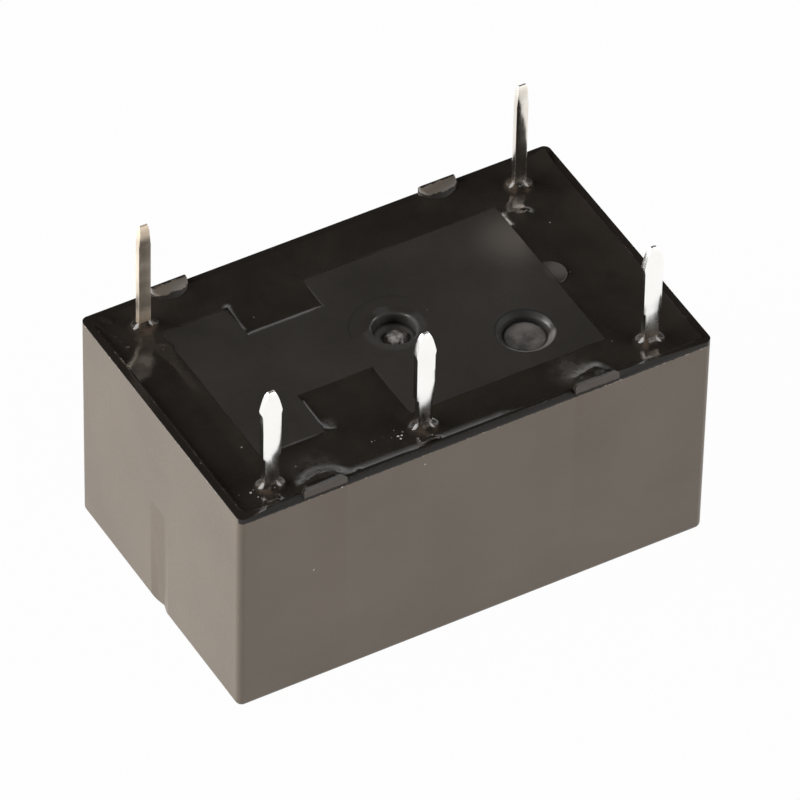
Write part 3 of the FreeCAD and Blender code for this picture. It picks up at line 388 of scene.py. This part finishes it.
smeared = combine(tree, combine(tree, on_edge, inner, "MAXIMUM"), off_foot_side, "MULTIPLY")
foot_tone = mix_colour(tree, outside, (0.15, 0.127, 0.105), (0.060, 0.046, 0.034))
tone = mix_colour(tree, foot_side, tone, foot_tone)
tone = mix_colour(tree, smeared, tone, (0.021, 0.0175, 0.0145))
# Pale flecks along the rim's ragged edge: small breaks in the plastic, painted light as sparkle highlights on them.
chip_sparkle_spots = place_group(tree, dust, {"Cells": 8.0, "Share": 0.30, "Radius": 0.75}, Place=place)
ragged_line = combine(tree, spread(tree, over_start, 7.70, 7.715, 0, 1),
                      spread(tree, over_start, 7.725, 7.735, 1, 0), "MULTIPLY")
chip_sparkle = combine(tree, chip_sparkle_spots.outputs[0], ragged_line, "MULTIPLY")
tone = mix_colour(tree, chip_sparkle, tone, (0.42, 0.38, 0.34))
tree.links.new(tone, shader.inputs["Base Color"])
film_shine = spread(tree, combine(tree, feet, facing, "MULTIPLY"), 0, 1, 0.12, 0.55)
shine = mix_colour(tree, smeared, spread(tree, grain.outputs["Height"], 0.3, 0.7, 0.36, 0.48), film_shine)
tree.links.new(shine, shader.inputs["Roughness"])
tree.links.new(spread(tree, smeared, 0, 1, 0.5, 0.22), shader.inputs["Specular IOR Level"])
bump(tree, shader, grain.outputs["Height"], 0.006 * mm)

foot_slope = math.radians(22)
foot_drop = {-1: 0.08 * mm, 1: 0.05 * mm}
rim_chamfer, chamfer_lift, cut_gap = 0.19 * mm, 0.07 * mm, 0.03 * mm
case_shell = copy_of("case", "case_shell")
start_edit(case_shell)
for x, side in foot_places:
    foot = Vector((x, side * half_wide))
    pick(case_shell, "VERT", lambda vert: vert.co.z > foot_top_z - 0.01 * mm and (vert.co.xy - foot).length < 0.7 * mm)
    bpy.ops.transform.rotate(value=-side * foot_slope, orient_axis="X",
                             center_override=(x, side * half_wide, foot_top_z))
    bpy.ops.transform.translate(value=(0, 0, -foot_drop[side]))
    if side < 0:
        edge_x, stretch = front_foot_stretch[x]
        pick(case_shell, "VERT", lambda vert: vert.co.z > 7.5 * mm and (vert.co.xy - foot).length < 0.66 * mm)
        bpy.ops.transform.resize(value=(stretch, 1, 1), center_override=(edge_x, side * half_wide, rim_z))
for edge_x, stretch in front_foot_stretch.values():
    for cut_x in (edge_x + cut_gap, edge_x - 2 * foot_radius * stretch - cut_gap):
        cut_across((1, 0, 0), cut_x)
pick(case_shell, "EDGE", lambda edge: at_height(edge, rim_z) and middle(edge).y < 0.1 * mm - half_wide
     and edge.calc_face_angle(0) > math.radians(40) and edge.calc_length() > 0.05 * mm)
bpy.ops.mesh.bevel(offset=rim_chamfer, segments=1, affect="EDGES", clamp_overlap=False)
pick(case_shell, "VERT", lambda vert: abs(vert.co.z - rim_z + rim_chamfer) < 0.002 * mm
     and vert.co.y < 0.01 * mm - half_wide)
bpy.ops.transform.translate(value=(0, 0, chamfer_lift))
end_edit()
put_in_place(case_shell, "relay_body", ["case"], case_finish)

# Base
# The relay's floor is a black plastic plate with a raised island, moulded with
# two notches, a round lug, the vent's recess and the gate's sunk mark.
island_z = 7.63 * mm
gate_centre = Vector((3.33 * mm, -1.78 * mm))
vent_centre = Vector((0.03 * mm, 0.17 * mm))


def sharp(edge):
    return len(edge.link_faces) == 2 and edge.calc_face_angle(0) > math.radians(30)


base_finish, tree, shader, place = start_finish("black_moulded_base")
grain = place_group(tree, moulded_grain, {"Grain": 7.0, "Cloud": 0.25}, Place=place)
tone = two_tone(tree, grain.outputs["Tone"], (0.029, 0.0255, 0.0225), (0.040, 0.035, 0.031))
torn = place_group(tree, moulded_grain, {"Grain": 3.2, "Cloud": 2.0}, Place=place)
# The gate's torn floor: pale torn plastic, painted lighter still to lift the shade in its recess.
gate_colour = two_tone(tree, torn.outputs["Tone"], (0.085, 0.078, 0.073), (0.21, 0.195, 0.185), 0.4, 0.6)
in_gate = near_point(tree, place, gate_centre, 0.58, 0.10)
tone = mix_colour(tree, in_gate, tone, gate_colour)
# Painted light: a soft painted sheen on the island's back right, a painted highlight by the lug, and lighter paint in
# the vent's bore to lift its shade.
for centre, radius, blur, colour in (((5.0, 1.85), 0.1, 1.4, (0.088, 0.077, 0.066)),
                                     ((5.60, 0.05), 0.15, 0.45, (0.090, 0.082, 0.073)),
                                     ((0.03, 0.17), 0.50, 0.15, (0.17, 0.156, 0.144))):
    painted_light_patch = near_point(tree, place, Vector(centre) * mm, radius, blur)
    tone = mix_colour(tree, painted_light_patch, tone, colour)
up = add_node(tree, "SeparateXYZ")
tree.links.new(place, up.inputs[0])
off_gate = combine(tree, 1, in_gate, "SUBTRACT")
# Round the gate's sunk mark: a painted dark reflection on its far side and a painted highlight on its near edge.
gate_ring = combine(tree, near_point(tree, place, gate_centre, 0.90, 0.03), off_gate, "MULTIPLY")
painted_dark_crescent = combine(tree, gate_ring, spread(tree, up.outputs["Y"], -1.65, -1.45, 0, 1), "MULTIPLY")
tone = mix_colour(tree, painted_dark_crescent, tone, (0.010, 0.009, 0.008))
painted_lit_lip = combine(tree, gate_ring, spread(tree, up.outputs["Y"], -2.2, -2.05, 1, 0), "MULTIPLY")
tone = mix_colour(tree, painted_lit_lip, tone, (0.15, 0.138, 0.13))
specks = place_group(tree, dust, {"Cells": 1.6, "Share": 0.10, "Radius": 0.05}, Place=place)
tree.links.new(mix_colour(tree, specks.outputs[0], tone, (0.40, 0.37, 0.34)), shader.inputs["Base Color"])
shine = spread(tree, grain.outputs["Tone"], 0.35, 0.65, 0.34, 0.44)
bore = combine(tree, near_point(tree, place, vent_centre, 0.9, 0.1),
               near_point(tree, place, gate_centre, 0.85, 0.1), "MAXIMUM")
shine = mix_colour(tree, bore, shine, grey(0.32))
shine = mix_colour(tree, painted_dark_crescent, shine, grey(0.65))
from_vent = combine(tree, combine(tree, up.outputs["X"], vent_centre.x / mm, "SUBTRACT"), 0, "ABSOLUTE")
dull = combine(tree, spread(tree, from_vent, 0.15, 0.30, 1, 0),
               spread(tree, up.outputs["Y"], 0.35, 0.50, 1, 0), "MAXIMUM")
dull = combine(tree, dull, near_point(tree, place, vent_centre, 0.9, 0.1), "MULTIPLY")
shine = mix_colour(tree, dull, shine, grey(0.70))
tree.links.new(mix_colour(tree, in_gate, shine, grey(0.62)), shader.inputs["Roughness"])
torn_relief = combine(tree, in_gate, combine(tree, torn.outputs["Tone"], 9.0, "MULTIPLY"), "MULTIPLY")
bump(tree, shader, combine(tree, grain.outputs["Height"], torn_relief), 0.004 * mm)

dish_depth, dish_lift = 0.06 * mm, 0.054 * mm
bore_share = 0.88
base_island = copy_of("base", "base_island")
start_edit(base_island)
pick(base_island, "VERT", lambda vert: abs(vert.co.z - island_z + dish_depth) < 0.002 * mm)
bpy.ops.transform.translate(value=(0, 0, dish_lift))
pick(base_island, "EDGE", lambda edge: sharp(edge) and at_height(edge, island_z - dish_depth + dish_lift)
     and (middle(edge).xy - vent_centre).length < 0.9 * mm)
bpy.ops.mesh.bevel(offset=0.13 * mm, segments=5, affect="EDGES", clamp_overlap=False)
pick(base_island, "VERT", lambda vert: (vert.co.xy - vent_centre).length < 0.95 * mm)
bpy.ops.transform.resize(value=(bore_share, bore_share, 1), center_override=(*vent_centre, island_z))
pick(base_island, "EDGE", lambda edge: sharp(edge) and at_height(edge, island_z)
     and (middle(edge).xy - vent_centre).length > 1.4 * mm)
bpy.ops.mesh.bevel(offset=0.018 * mm, segments=2, affect="EDGES", clamp_overlap=False)
end_edit()
put_in_place(base_island, "relay_body", ["base"], base_finish)

# Sealing resin
# Black epoxy is poured round the island to seal the relay. It creeps up the
# case, the feet, the pins and the island's edges before it sets.
resin_z, plate_z = 7.54 * mm, 7.2 * mm
sheet_gap, close = 0.23 * mm, 0.01 * mm
sheet_long, sheet_wide = half_long - sheet_gap, half_wide - sheet_gap
# The island as blocks, each from left to right and from front to back, in millimetres
island_blocks = [(-6.06, -3.87, -2.65, 3.22), (-3.87, -1.34, -0.98, 1.95), (-1.34, 5.22, -3.22, 3.22)]
# Each pin's place, width and thickness at the resin, in millimetres
pins = {"coil_terminal_left": (-6.35, 3.81, 0.40, 0.20),
        "coil_terminal_right": (6.35, 3.81, 0.40, 0.20),
        "normally_closed_terminal": (-6.35, -3.81, 0.47, 0.22),
        "normally_open_terminal": (-1.27, -3.81, 0.47, 0.22),
        "common_terminal": (6.35, -3.81, 0.47, 0.22)}
# Each ridge's two ends, height and reach, in millimetres
ridges = [(3.55, -4.28, 4.30, -4.12, 0.10, 0.60), (-7.52, 4.35, -7.25, 3.30, 0.03, 0.15),
          (-7.30, 4.55, -7.10, 4.38, 0.04, 0.12), (5.80, 2.55, 5.95, 2.60, 0.14, 0.45),
          (-3.80, -2.60, -3.60, -2.75, 0.07, 0.40), (-6.60, -4.50, -6.50, -4.50, 0.12, 0.30),
          (-1.50, -4.55, -1.30, -4.55, 0.12, 0.28)]
# The notches' walls: the axis and line that each stands on, its two ends, height and reach
notch_walls = [(0, -3.87, 2.2, math.inf, 0.05, 0.3), (0, -3.87, -math.inf, -1.2, 0.05, 0.2),
               (1, 1.95, -3.9, -1.3, 0.055, 0.3), (1, -0.98, -3.9, -1.3, 0.065, 0.15)]


def under_island(place, reach=0.0):
    x, y = place.x / mm, place.y / mm
    return any(left - reach < x < right + reach and front - reach < y < back + reach
               for left, right, front, back in island_blocks)


def on_line(number, line):
    return abs(number - line * mm) < close


def island_edge(vert):
    """Whether a vertex is on the resin's open edge round the island."""
    return vert.is_boundary and under_island(vert.co, 0.01)


def lift(piece, wanted, height, reach, falloff="SHARP"):
    """Draw the picked vertices up, and the surface round them with them."""
    pick(piece, "VERT", wanted)
    bpy.ops.transform.translate(value=(0, 0, height), use_proportional_edit=True,
                                proportional_edit_falloff=falloff, proportional_size=reach)


def away_from_line(place, start, end):
    """How far a place is from the line between two points, seen from above."""
    along = end - start
    share = max(0, min(1, (place.xy - start).dot(along) / along.length_squared))
    return (place.xy - start - along * share).length


def near_pin(place, margin):
    x, y = place.x / mm, place.y / mm
    return any(abs(x - across) < width / 2 + margin and abs(y - up) < thickness / 2 + margin
               for across, up, width, thickness in pins.values())


bpy.ops.object.select_all(action="DESELECT")
bpy.ops.mesh.primitive_grid_add(x_subdivisions=256, y_subdivisions=154, size=1, location=(0, 0, resin_z))
resin = bpy.context.object
resin.name = "resin_seal"
resin.scale = (2 * sheet_long, 2 * sheet_wide, 1)
bpy.ops.object.transform_apply(location=True, rotation=True, scale=True)
start_edit(resin)
for across in sorted({edge for block in island_blocks for edge in block[:2]}):
    cut_across((1, 0, 0), across * mm)
for up in sorted({edge for block in island_blocks for edge in block[2:]}):
    cut_across((0, 1, 0), up * mm)
pick(resin, "FACE", lambda face: under_island(face.calc_center_median()))
bpy.ops.mesh.delete(type="FACE")
pick(resin, "FACE", lambda face: near_pin(face.calc_center_median(), 0.5))
bpy.ops.mesh.subdivide(number_cuts=2)
lift(resin, lambda vert: vert.co.x < close - sheet_long, 0.04 * mm, 0.6 * mm)
lift(resin, lambda vert: vert.co.x > sheet_long - close, 0.165 * mm, 0.8 * mm)
lift(resin, lambda vert: vert.co.y > sheet_wide - close, 0.165 * mm, 0.8 * mm)
lift(resin, lambda vert: vert.co.y < close - sheet_wide, 0.05 * mm, 0.5 * mm)
lift(resin, lambda vert: vert.co.y < close - sheet_wide and -5.6 * mm < vert.co.x < 0.9 * mm, 0.09 * mm, 1.2 * mm)
for (x, side), height in zip(foot_places, (0.2, 0.1, 0.06, 0.1)):
    lift(resin, lambda vert: (vert.co.xy - Vector((x, side * half_wide))).length < 0.66 * mm
         and abs(vert.co.y) < half_wide - 0.42 * mm, height * mm, 0.6 * mm)
lift(resin, island_edge, 0.02 * mm, 0.2 * mm)
lift(resin, lambda vert: island_edge(vert) and (on_line(vert.co.x, 5.22) or on_line(vert.co.y, 3.22)),
     0.073 * mm, 0.95 * mm, "SMOOTH")
lift(resin, lambda vert: island_edge(vert) and vert.co.z < 7.58 * mm
     and (on_line(vert.co.x, -6.06) or on_line(vert.co.y, -3.22)), 0.073 * mm, 0.5 * mm, "SMOOTH")
for axis, line, start, end, height, reach in notch_walls:
    lift(resin, lambda vert: vert.is_boundary and on_line(vert.co[axis], line)
         and start * mm < vert.co[1 - axis] < end * mm, height * mm, reach * mm)
for left, front, right, back, height, reach in ridges:
    start, end = Vector((left, front)) * mm, Vector((right, back)) * mm
    lift(resin, lambda vert: away_from_line(vert.co, start, end) < 0.05 * mm, height * mm, reach * mm)
lift(resin, lambda vert: near_pin(vert.co, -0.09), 0.42 * mm, 0.42 * mm)
end_edit()
swirls = bpy.data.textures.new("resin_swirls", "CLOUDS")
swirls.noise_scale = 1.3 * mm
use_modifier(resin, "DISPLACE", texture=swirls, texture_coords="LOCAL", direction="Z",
             strength=0.02 * mm, mid_level=0.5)
start_edit(resin)
pick(resin, "EDGE", lambda edge: edge.is_boundary)
bpy.ops.mesh.extrude_edges_move(TRANSFORM_OT_translate={"value": (0, 0, plate_z - resin_z)})
bpy.ops.transform.resize(value=(inside_long / sheet_long, inside_wide / sheet_wide, 0),
                         center_override=(0, 0, plate_z))
pick(resin, "EDGE", lambda edge: edge.is_boundary)
bpy.ops.mesh.fill(use_beauty=False)
bpy.ops.mesh.select_all(action="SELECT")
bpy.ops.mesh.normals_make_consistent(inside=False)
end_edit()

resin_finish, tree, shader, place = start_finish("black_sealing_resin")
cloud = place_group(tree, moulded_grain, {"Grain": 2.2, "Cloud": 0.4}, Place=place)
tone = two_tone(tree, cloud.outputs["Tone"], (0.020, 0.0165, 0.0135), (0.030, 0.025, 0.0205))
specks = place_group(tree, dust, {"Cells": 3.0, "Share": 0.10, "Radius": 0.10}, Place=place)
# Soft spots of painted sheen and painted highlight on the resin, by the front feet, the pins and the island's notch;
# they are rougher too.
painted_sheen_mask = 0.0
for x, y, radius, blur, colour in ((3.70, -3.80, 0.15, 0.75, (0.060, 0.054, 0.047)),
                                   (-7.01, 2.45, 0.10, 0.30, (0.10, 0.086, 0.072)),
                                   (-6.64, 3.31, 0.18, 0.22, (0.026, 0.021, 0.016)),
                                   (-4.85, -3.95, 0.3, 0.8, (0.045, 0.039, 0.034)),
                                   (5.97, -4.50, 0.06, 0.14, (0.16, 0.15, 0.135)),
                                   (-3.62, -2.35, 0.08, 0.25, (0.070, 0.063, 0.056))):
    sheen_patch = near_point(tree, place, (x * mm, y * mm), radius, blur)
    sheen_patch = combine(tree, sheen_patch, spread(tree, cloud.outputs["Height"], 0.40, 0.60, 0.2, 1), "MULTIPLY")
    tone = mix_colour(tree, sheen_patch, tone, colour)
    painted_sheen_mask = combine(tree, painted_sheen_mask, sheen_patch, "MAXIMUM")
# Brown round each pin's foot: flux residue, painted lighter as a painted reflection of the pin.
flux_and_reflection = 0.0
for x, y, _, _ in pins.values():
    flux_and_reflection = combine(tree, flux_and_reflection, near_point(tree, place, Vector((x * mm, y * mm)), 0.3, 0.2), "MAXIMUM")
flux_and_reflection = combine(tree, flux_and_reflection, spread(tree, cloud.outputs["Height"], 0.45, 0.55, 0, 1), "MULTIPLY")
tone = mix_colour(tree, flux_and_reflection, tone, (0.075, 0.056, 0.042))
crumbs = place_group(tree, dust, {"Cells": 9.0, "Share": 0.35, "Radius": 0.45}, Place=place)
crumbled = 0.0
for x, y, radius in ((-2.95, -3.74, 0.12), (-2.2, -3.75, 0.22), (-6.95, -3.95, 0.2), (4.9, -3.4, 0.15),
                     (5.75, -0.13, 0.08), (5.35, 0.62, 0.06)):
    crumbled = combine(tree, crumbled, near_point(tree, place, (x * mm, y * mm), radius, 0.15), "MAXIMUM")
tone = mix_colour(tree, combine(tree, crumbled, crumbs.outputs[0], "MULTIPLY"), tone, (0.55, 0.52, 0.48))
tree.links.new(mix_colour(tree, specks.outputs[0], tone, (0.30, 0.28, 0.25)), shader.inputs["Base Color"])
shine = spread(tree, cloud.outputs["Tone"], 0.3, 0.7, 0.05, 0.13)
shine = mix_colour(tree, painted_sheen_mask, shine, grey(0.42))
tree.links.new(mix_colour(tree, flux_and_reflection, shine, grey(0.2)), shader.inputs["Roughness"])
bump(tree, shader, cloud.outputs["Height"], 0.004 * mm)
put_in_place(resin, "relay_body", ["sealing_resin"], resin_finish, smooth=50)

# Vent seal
# A drop of resin closes the vent hole after the relay is baked dry. It sits
# rough in the bottom of the recess; its pale flecks are in part a painted highlight.
vent_floor = 7.21 * mm
seal_finish, tree, shader, place = start_finish("rough_vent_drop")
crumbs = place_group(tree, moulded_grain, {"Grain": 9.0, "Cloud": 5.0}, Place=place)
tone = two_tone(tree, crumbs.outputs["Tone"], (0.20, 0.18, 0.17), (0.62, 0.58, 0.56), 0.4, 0.6)
tree.links.new(tone, shader.inputs["Base Color"])
tree.links.new(spread(tree, crumbs.outputs["Height"], 0.3, 0.7, 0.22, 0.42), shader.inputs["Roughness"])
bump(tree, shader, crumbs.outputs["Height"], 0.03 * mm)

bpy.ops.object.select_all(action="DESELECT")
bpy.ops.mesh.primitive_ico_sphere_add(subdivisions=5, radius=0.38 * mm,
                                      location=(vent_centre.x + 0.02 * mm, vent_centre.y - 0.07 * mm, vent_floor))
seal_drop = bpy.context.object
seal_drop.name = "vent_drop"
seal_drop.scale = (1.05, 1, 0.42)
bpy.ops.object.transform_apply(location=True, rotation=True, scale=True)
crumble = bpy.data.textures.new("seal_crumble", "CLOUDS")
crumble.noise_scale = 0.13 * mm
use_modifier(seal_drop, "DISPLACE", texture=crumble, texture_coords="LOCAL", strength=0.09 * mm, mid_level=0.8)
start_edit(seal_drop)
bpy.ops.mesh.select_all(action="SELECT")
bpy.ops.mesh.bisect(plane_co=(0, 0, vent_floor), plane_no=(0, 0, 1), use_fill=True, clear_inner=True,
                    threshold=0.0001 * mm)
pick(seal_drop, "FACE", lambda face: abs(face.calc_center_median().z - vent_floor) < 0.001 * mm)
bpy.ops.mesh.inset(thickness=0.1 * mm)
bpy.ops.mesh.extrude_region_move(TRANSFORM_OT_translate={"value": (0, 0, 6.5 * mm - vent_floor)})
end_edit()
put_in_place(seal_drop, "relay_body", ["vent_seal"], seal_finish)

# Terminals
# Five flat pins are stamped from copper strip and tinned. The three contact
# pins have a neck, shoulders and a bullet-shaped tip, and the two coil pins
# have a coined tip.
streaks, ins, outs = start_group(
    "drawn_metal",
    [("Place", "Vector", None), ("Scale", "Float", 6.0), ("Stretch", "Vector", (1, 1, 0.12))],
    [("Height", "Float"), ("Tone", "Float")])
pulled = add_node(streaks, "VectorMath", operation="MULTIPLY")
streaks.links.new(ins.outputs["Place"], pulled.inputs[0])
streaks.links.new(ins.outputs["Stretch"], pulled.inputs[1])
lines = add_node(streaks, "TexNoise", {"Detail": 4.0, "Roughness": 0.6})
streaks.links.new(pulled.outputs[0], lines.inputs["Vector"])
streaks.links.new(ins.outputs["Scale"], lines.inputs["Scale"])
blotch = add_node(streaks, "TexNoise", {"Scale": 0.9, "Detail": 2.0})
streaks.links.new(ins.outputs["Place"], blotch.inputs["Vector"])
streaks.links.new(lines.outputs["Fac"], outs.inputs["Height"])
streaks.links.new(combine(streaks, combine(streaks, lines.outputs["Fac"], 0.5, "MULTIPLY"),
                          combine(streaks, blotch.outputs["Fac"], 0.5, "MULTIPLY")), outs.inputs["Tone"])


def tinned(name, smooth, rough, dark, light, wavy=10.0):
    """Tin over copper strip, browned by flux where it stands in the resin."""
    material, tree, shader, place = start_finish(name)
    drawn = place_group(tree, streaks, {"Scale": 5.0}, Place=place)
    bright = two_tone(tree, drawn.outputs["Tone"], dark, light)
    height = add_node(tree, "SeparateXYZ")
    tree.links.new(place, height.inputs[0])
    foot = spread(tree, height.outputs["Z"], 7.7, 8.5, 1, 0)
    flux = combine(tree, foot, spread(tree, drawn.outputs["Tone"], 0.35, 0.6, 0.2, 1), "MULTIPLY")
    tree.links.new(mix_colour(tree, flux, bright, (0.42, 0.31, 0.21)), shader.inputs["Base Color"])
    shader.inputs["Metallic"].default_value = 1.0
    shine = spread(tree, drawn.outputs["Tone"], 0.35, 0.65, smooth, rough)
    tip = spread(tree, height.outputs["Z"], 11.0, 11.25, 0, 0.3)
    shine = combine(tree, shine, tip)
    tree.links.new(combine(tree, shine, combine(tree, flux, 0.25, "MULTIPLY")), shader.inputs["Roughness"])
    dipped = add_node(tree, "TexNoise", {"Scale": 1.1, "Detail": 1.0})
    tree.links.new(place, dipped.inputs["Vector"])
    waves = combine(tree, dipped.outputs["Fac"], wavy, "MULTIPLY")
    bump(tree, shader, combine(tree, waves, drawn.outputs["Height"]), 0.004 * mm)
    return material


bright_tin = tinned("bright_tin", 0.12, 0.24, (0.95, 0.94, 0.91), (1.0, 0.99, 0.97))
satin_tin = tinned("satin_tin", 0.14, 0.26, (0.80, 0.75, 0.68), (0.92, 0.88, 0.82))
# The left coil pin's tin is a browner, duller copy of the right one's: painted shade for the dark island it mirrors.
shaded_dull_tin = tinned("shaded_dull_tin", 0.36, 0.50, (0.80, 0.69, 0.56), (0.93, 0.83, 0.70), 20.0)

# Height, width and thickness of a pin from its foot to its tip, in millimetres
contact_stations = [(8.74, 0.47, 0.22), (8.81, 0.60, 0.22), (10.39, 0.60, 0.22), (10.50, 0.645, 0.22),
                    (10.54, 0.66, 0.22), (10.58, 0.645, 0.22), (10.66, 0.615, 0.22), (10.75, 0.575, 0.22),
                    (10.88, 0.51, 0.215), (11.00, 0.45, 0.205), (11.10, 0.385, 0.185), (11.18, 0.32, 0.16),
                    (11.24, 0.26, 0.135), (11.28, 0.20, 0.105), (11.30, 0.13, 0.07)]
coil_stations = [(10.68, 0.40, 0.20), (10.81, 0.405, 0.20), (10.95, 0.375, 0.20), (11.38, 0.31, 0.20),
                 (11.50, 0.295, 0.13), (11.555, 0.27, 0.08), (11.57, 0.24, 0.05)]


def draw_out_pin(node, name, stations, finish):
    """Cut the strip off in the resin and draw it out again through its stations."""
    x, y, width, thickness = pins[node]
    blade = stations[1][1]
    level, over_cut, crown = 7.3, 7.35, 0.030
    pin = copy_of(node, name)
    start_edit(pin)
    bpy.ops.mesh.select_all(action="SELECT")
    bpy.ops.mesh.bisect(plane_co=(0, 0, level * mm), plane_no=(0, 0, 1), use_fill=True, clear_outer=True,
                        threshold=0.0001 * mm)
    pick(pin, "FACE", lambda face: abs(face.calc_center_median().z - level * mm) < 0.001 * mm)
    for top, new_width, new_thickness in stations:
        bpy.ops.mesh.extrude_region_move(TRANSFORM_OT_translate={"value": (0, 0, (top - level) * mm)})
        bpy.ops.transform.resize(value=(new_width / width, new_thickness / thickness, 1),
                                 center_override=(x * mm, y * mm, top * mm))
        level, width, thickness = top, new_width, new_thickness
    for share in (-0.25, 0, 0.25):
        cut_across((1, 0, 0), (x + share * blade) * mm)
    for low, high, swell in ((over_cut, 10.9, 1.0), (10.9, 11.2, 0.5)):
        for side in (-1, 1):
            for reach, lift_share in ((0.05, 0.25), (0.30, 0.75)):
                pick(pin, "VERT", lambda vert: low * mm < vert.co.z < high * mm
                     and side * (vert.co.y - y * mm) > 0.02 * mm and abs(vert.co.x - x * mm) < reach * blade * mm)
                bpy.ops.transform.translate(value=(0, side * swell * lift_share * crown * blade * mm, 0))
    pick(pin, "EDGE", lambda edge: sharp(edge) and middle(edge).z > over_cut * mm
         and abs(edge.verts[0].co.z - edge.verts[1].co.z) > 0.01 * mm)
    bpy.ops.mesh.bevel(offset=0.045 * mm, segments=3, affect="EDGES", clamp_overlap=True)
    end_edit()
    put_in_place(pin, "relay_body", [node], finish, smooth=40)


draw_out_pin("coil_terminal_left", "coil_pin_left", coil_stations, shaded_dull_tin)
draw_out_pin("coil_terminal_right", "coil_pin_right", coil_stations, satin_tin)
draw_out_pin("normally_closed_terminal", "normally_closed_pin", contact_stations, bright_tin)
draw_out_pin("normally_open_terminal", "normally_open_pin", contact_stations, bright_tin)
draw_out_pin("common_terminal", "common_pin", contact_stations, bright_tin)


# Hidden works
# Inside the case sit the coil on its bobbin, the iron parts, the armature with
# its card, and the contact springs. They keep the shape that the drawing gives.
def metal_finish(name, dark, light, shine, scale, stretch, grain_depth):
    """A bare metal with rolled or drawn lines and a slow change of tone."""
    material, tree, shader, place = start_finish(name)
    drawn = place_group(tree, streaks, {"Scale": scale, "Stretch": stretch}, Place=place)
    tree.links.new(two_tone(tree, drawn.outputs["Tone"], dark, light), shader.inputs["Base Color"])
    tree.links.new(spread(tree, drawn.outputs["Tone"], 0.35, 0.65, *shine), shader.inputs["Roughness"])
    shader.inputs["Metallic"].default_value = 1.0
    bump(tree, shader, drawn.outputs["Height"], grain_depth * mm)
    return material


def dress_nodes(material, *names):
    """Give the nodes a material, and leave their shapes alone."""
    for name in names:
        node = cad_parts[name]
        node.data.materials.clear()
        node.data.materials.append(material)


along_x, along_z, even = (0.12, 1, 1), (1, 1, 0.12), (1, 1, 1)
iron_finish = metal_finish("annealed_iron", (0.46, 0.46, 0.45), (0.60, 0.60, 0.58),
                           (0.32, 0.48), 4.0, along_z, 0.006)
spring_finish = metal_finish("bronze_strip", (0.66, 0.42, 0.22), (0.78, 0.54, 0.31),
                             (0.22, 0.34), 6.0, along_x, 0.003)
silver_finish = metal_finish("contact_silver", (0.78, 0.77, 0.73), (0.90, 0.90, 0.88),
                             (0.18, 0.36), 5.0, even, 0.004)
rivet_finish = metal_finish("brass_rivets", (0.62, 0.51, 0.31), (0.74, 0.65, 0.45),
                            (0.24, 0.40), 5.0, even, 0.005)
solder_finish = metal_finish("dull_solder", (0.64, 0.64, 0.62), (0.78, 0.78, 0.76),
                             (0.26, 0.46), 3.0, even, 0.012)

wire_finish, tree, shader, place = start_finish("enamelled_wire")
turns = add_node(tree, "TexWave", {"Scale": 3.9, "Distortion": 0.3, "Detail": 1.0}, bands_direction="X")
tree.links.new(place, turns.inputs["Vector"])
lacquer = place_group(tree, moulded_grain, {"Grain": 2.0, "Cloud": 0.6}, Place=place)
copper = two_tone(tree, lacquer.outputs["Tone"], (0.55, 0.20, 0.075), (0.68, 0.29, 0.12))
# Dark bands between the turns: painted shade in the winding's grooves.
tree.links.new(mix_colour(tree, turns.outputs["Fac"], (0.16, 0.055, 0.02), copper), shader.inputs["Base Color"])
tree.links.new(spread(tree, lacquer.outputs["Tone"], 0.35, 0.65, 0.22, 0.34), shader.inputs["Roughness"])
shader.inputs["Metallic"].default_value = 0.7
bump(tree, shader, turns.outputs["Fac"], 0.03 * mm)

tape_finish, tree, shader, place = start_finish("amber_tape")
turns = add_node(tree, "TexWave", {"Scale": 3.9, "Distortion": 0.6, "Detail": 1.0}, bands_direction="X")
tree.links.new(place, turns.inputs["Vector"])
film = place_group(tree, moulded_grain, {"Grain": 1.2, "Cloud": 0.5}, Place=place)
amber = two_tone(tree, film.outputs["Tone"], (0.66, 0.44, 0.08), (0.80, 0.60, 0.15))
amber = mix_colour(tree, combine(tree, turns.outputs["Fac"], 0.3, "MULTIPLY"), amber, (0.50, 0.30, 0.06))
tree.links.new(amber, shader.inputs["Base Color"])
tree.links.new(spread(tree, film.outputs["Height"], 0.3, 0.7, 0.18, 0.30), shader.inputs["Roughness"])
bump(tree, shader, film.outputs["Height"], 0.02 * mm)

nylon_finish, tree, shader, place = start_finish("moulded_inner_plastic")
grain = place_group(tree, moulded_grain, {"Grain": 8.0, "Cloud": 0.4}, Place=place)
tone = two_tone(tree, grain.outputs["Tone"], (0.49, 0.47, 0.42), (0.60, 0.58, 0.53))
tree.links.new(tone, shader.inputs["Base Color"])
tree.links.new(spread(tree, grain.outputs["Height"], 0.3, 0.7, 0.38, 0.52), shader.inputs["Roughness"])
bump(tree, shader, grain.outputs["Height"], 0.006 * mm)

dress_nodes(iron_finish, "core", "pole_plate", "yoke", "armature")
dress_nodes(spring_finish, "moving_spring", "hinge_spring")
dress_nodes(silver_finish, "moving_contact", "normally_closed_contact", "normally_open_contact")
dress_nodes(rivet_finish, "spring_rivets", "armature_rivets", "yoke_rivets")
dress_nodes(solder_finish, "coil_solder_left", "coil_solder_right")
dress_nodes(wire_finish, "coil_winding", "coil_lead_left", "coil_lead_right")
dress_nodes(tape_finish, "coil_tape")
dress_nodes(nylon_finish, "bobbin", "card")
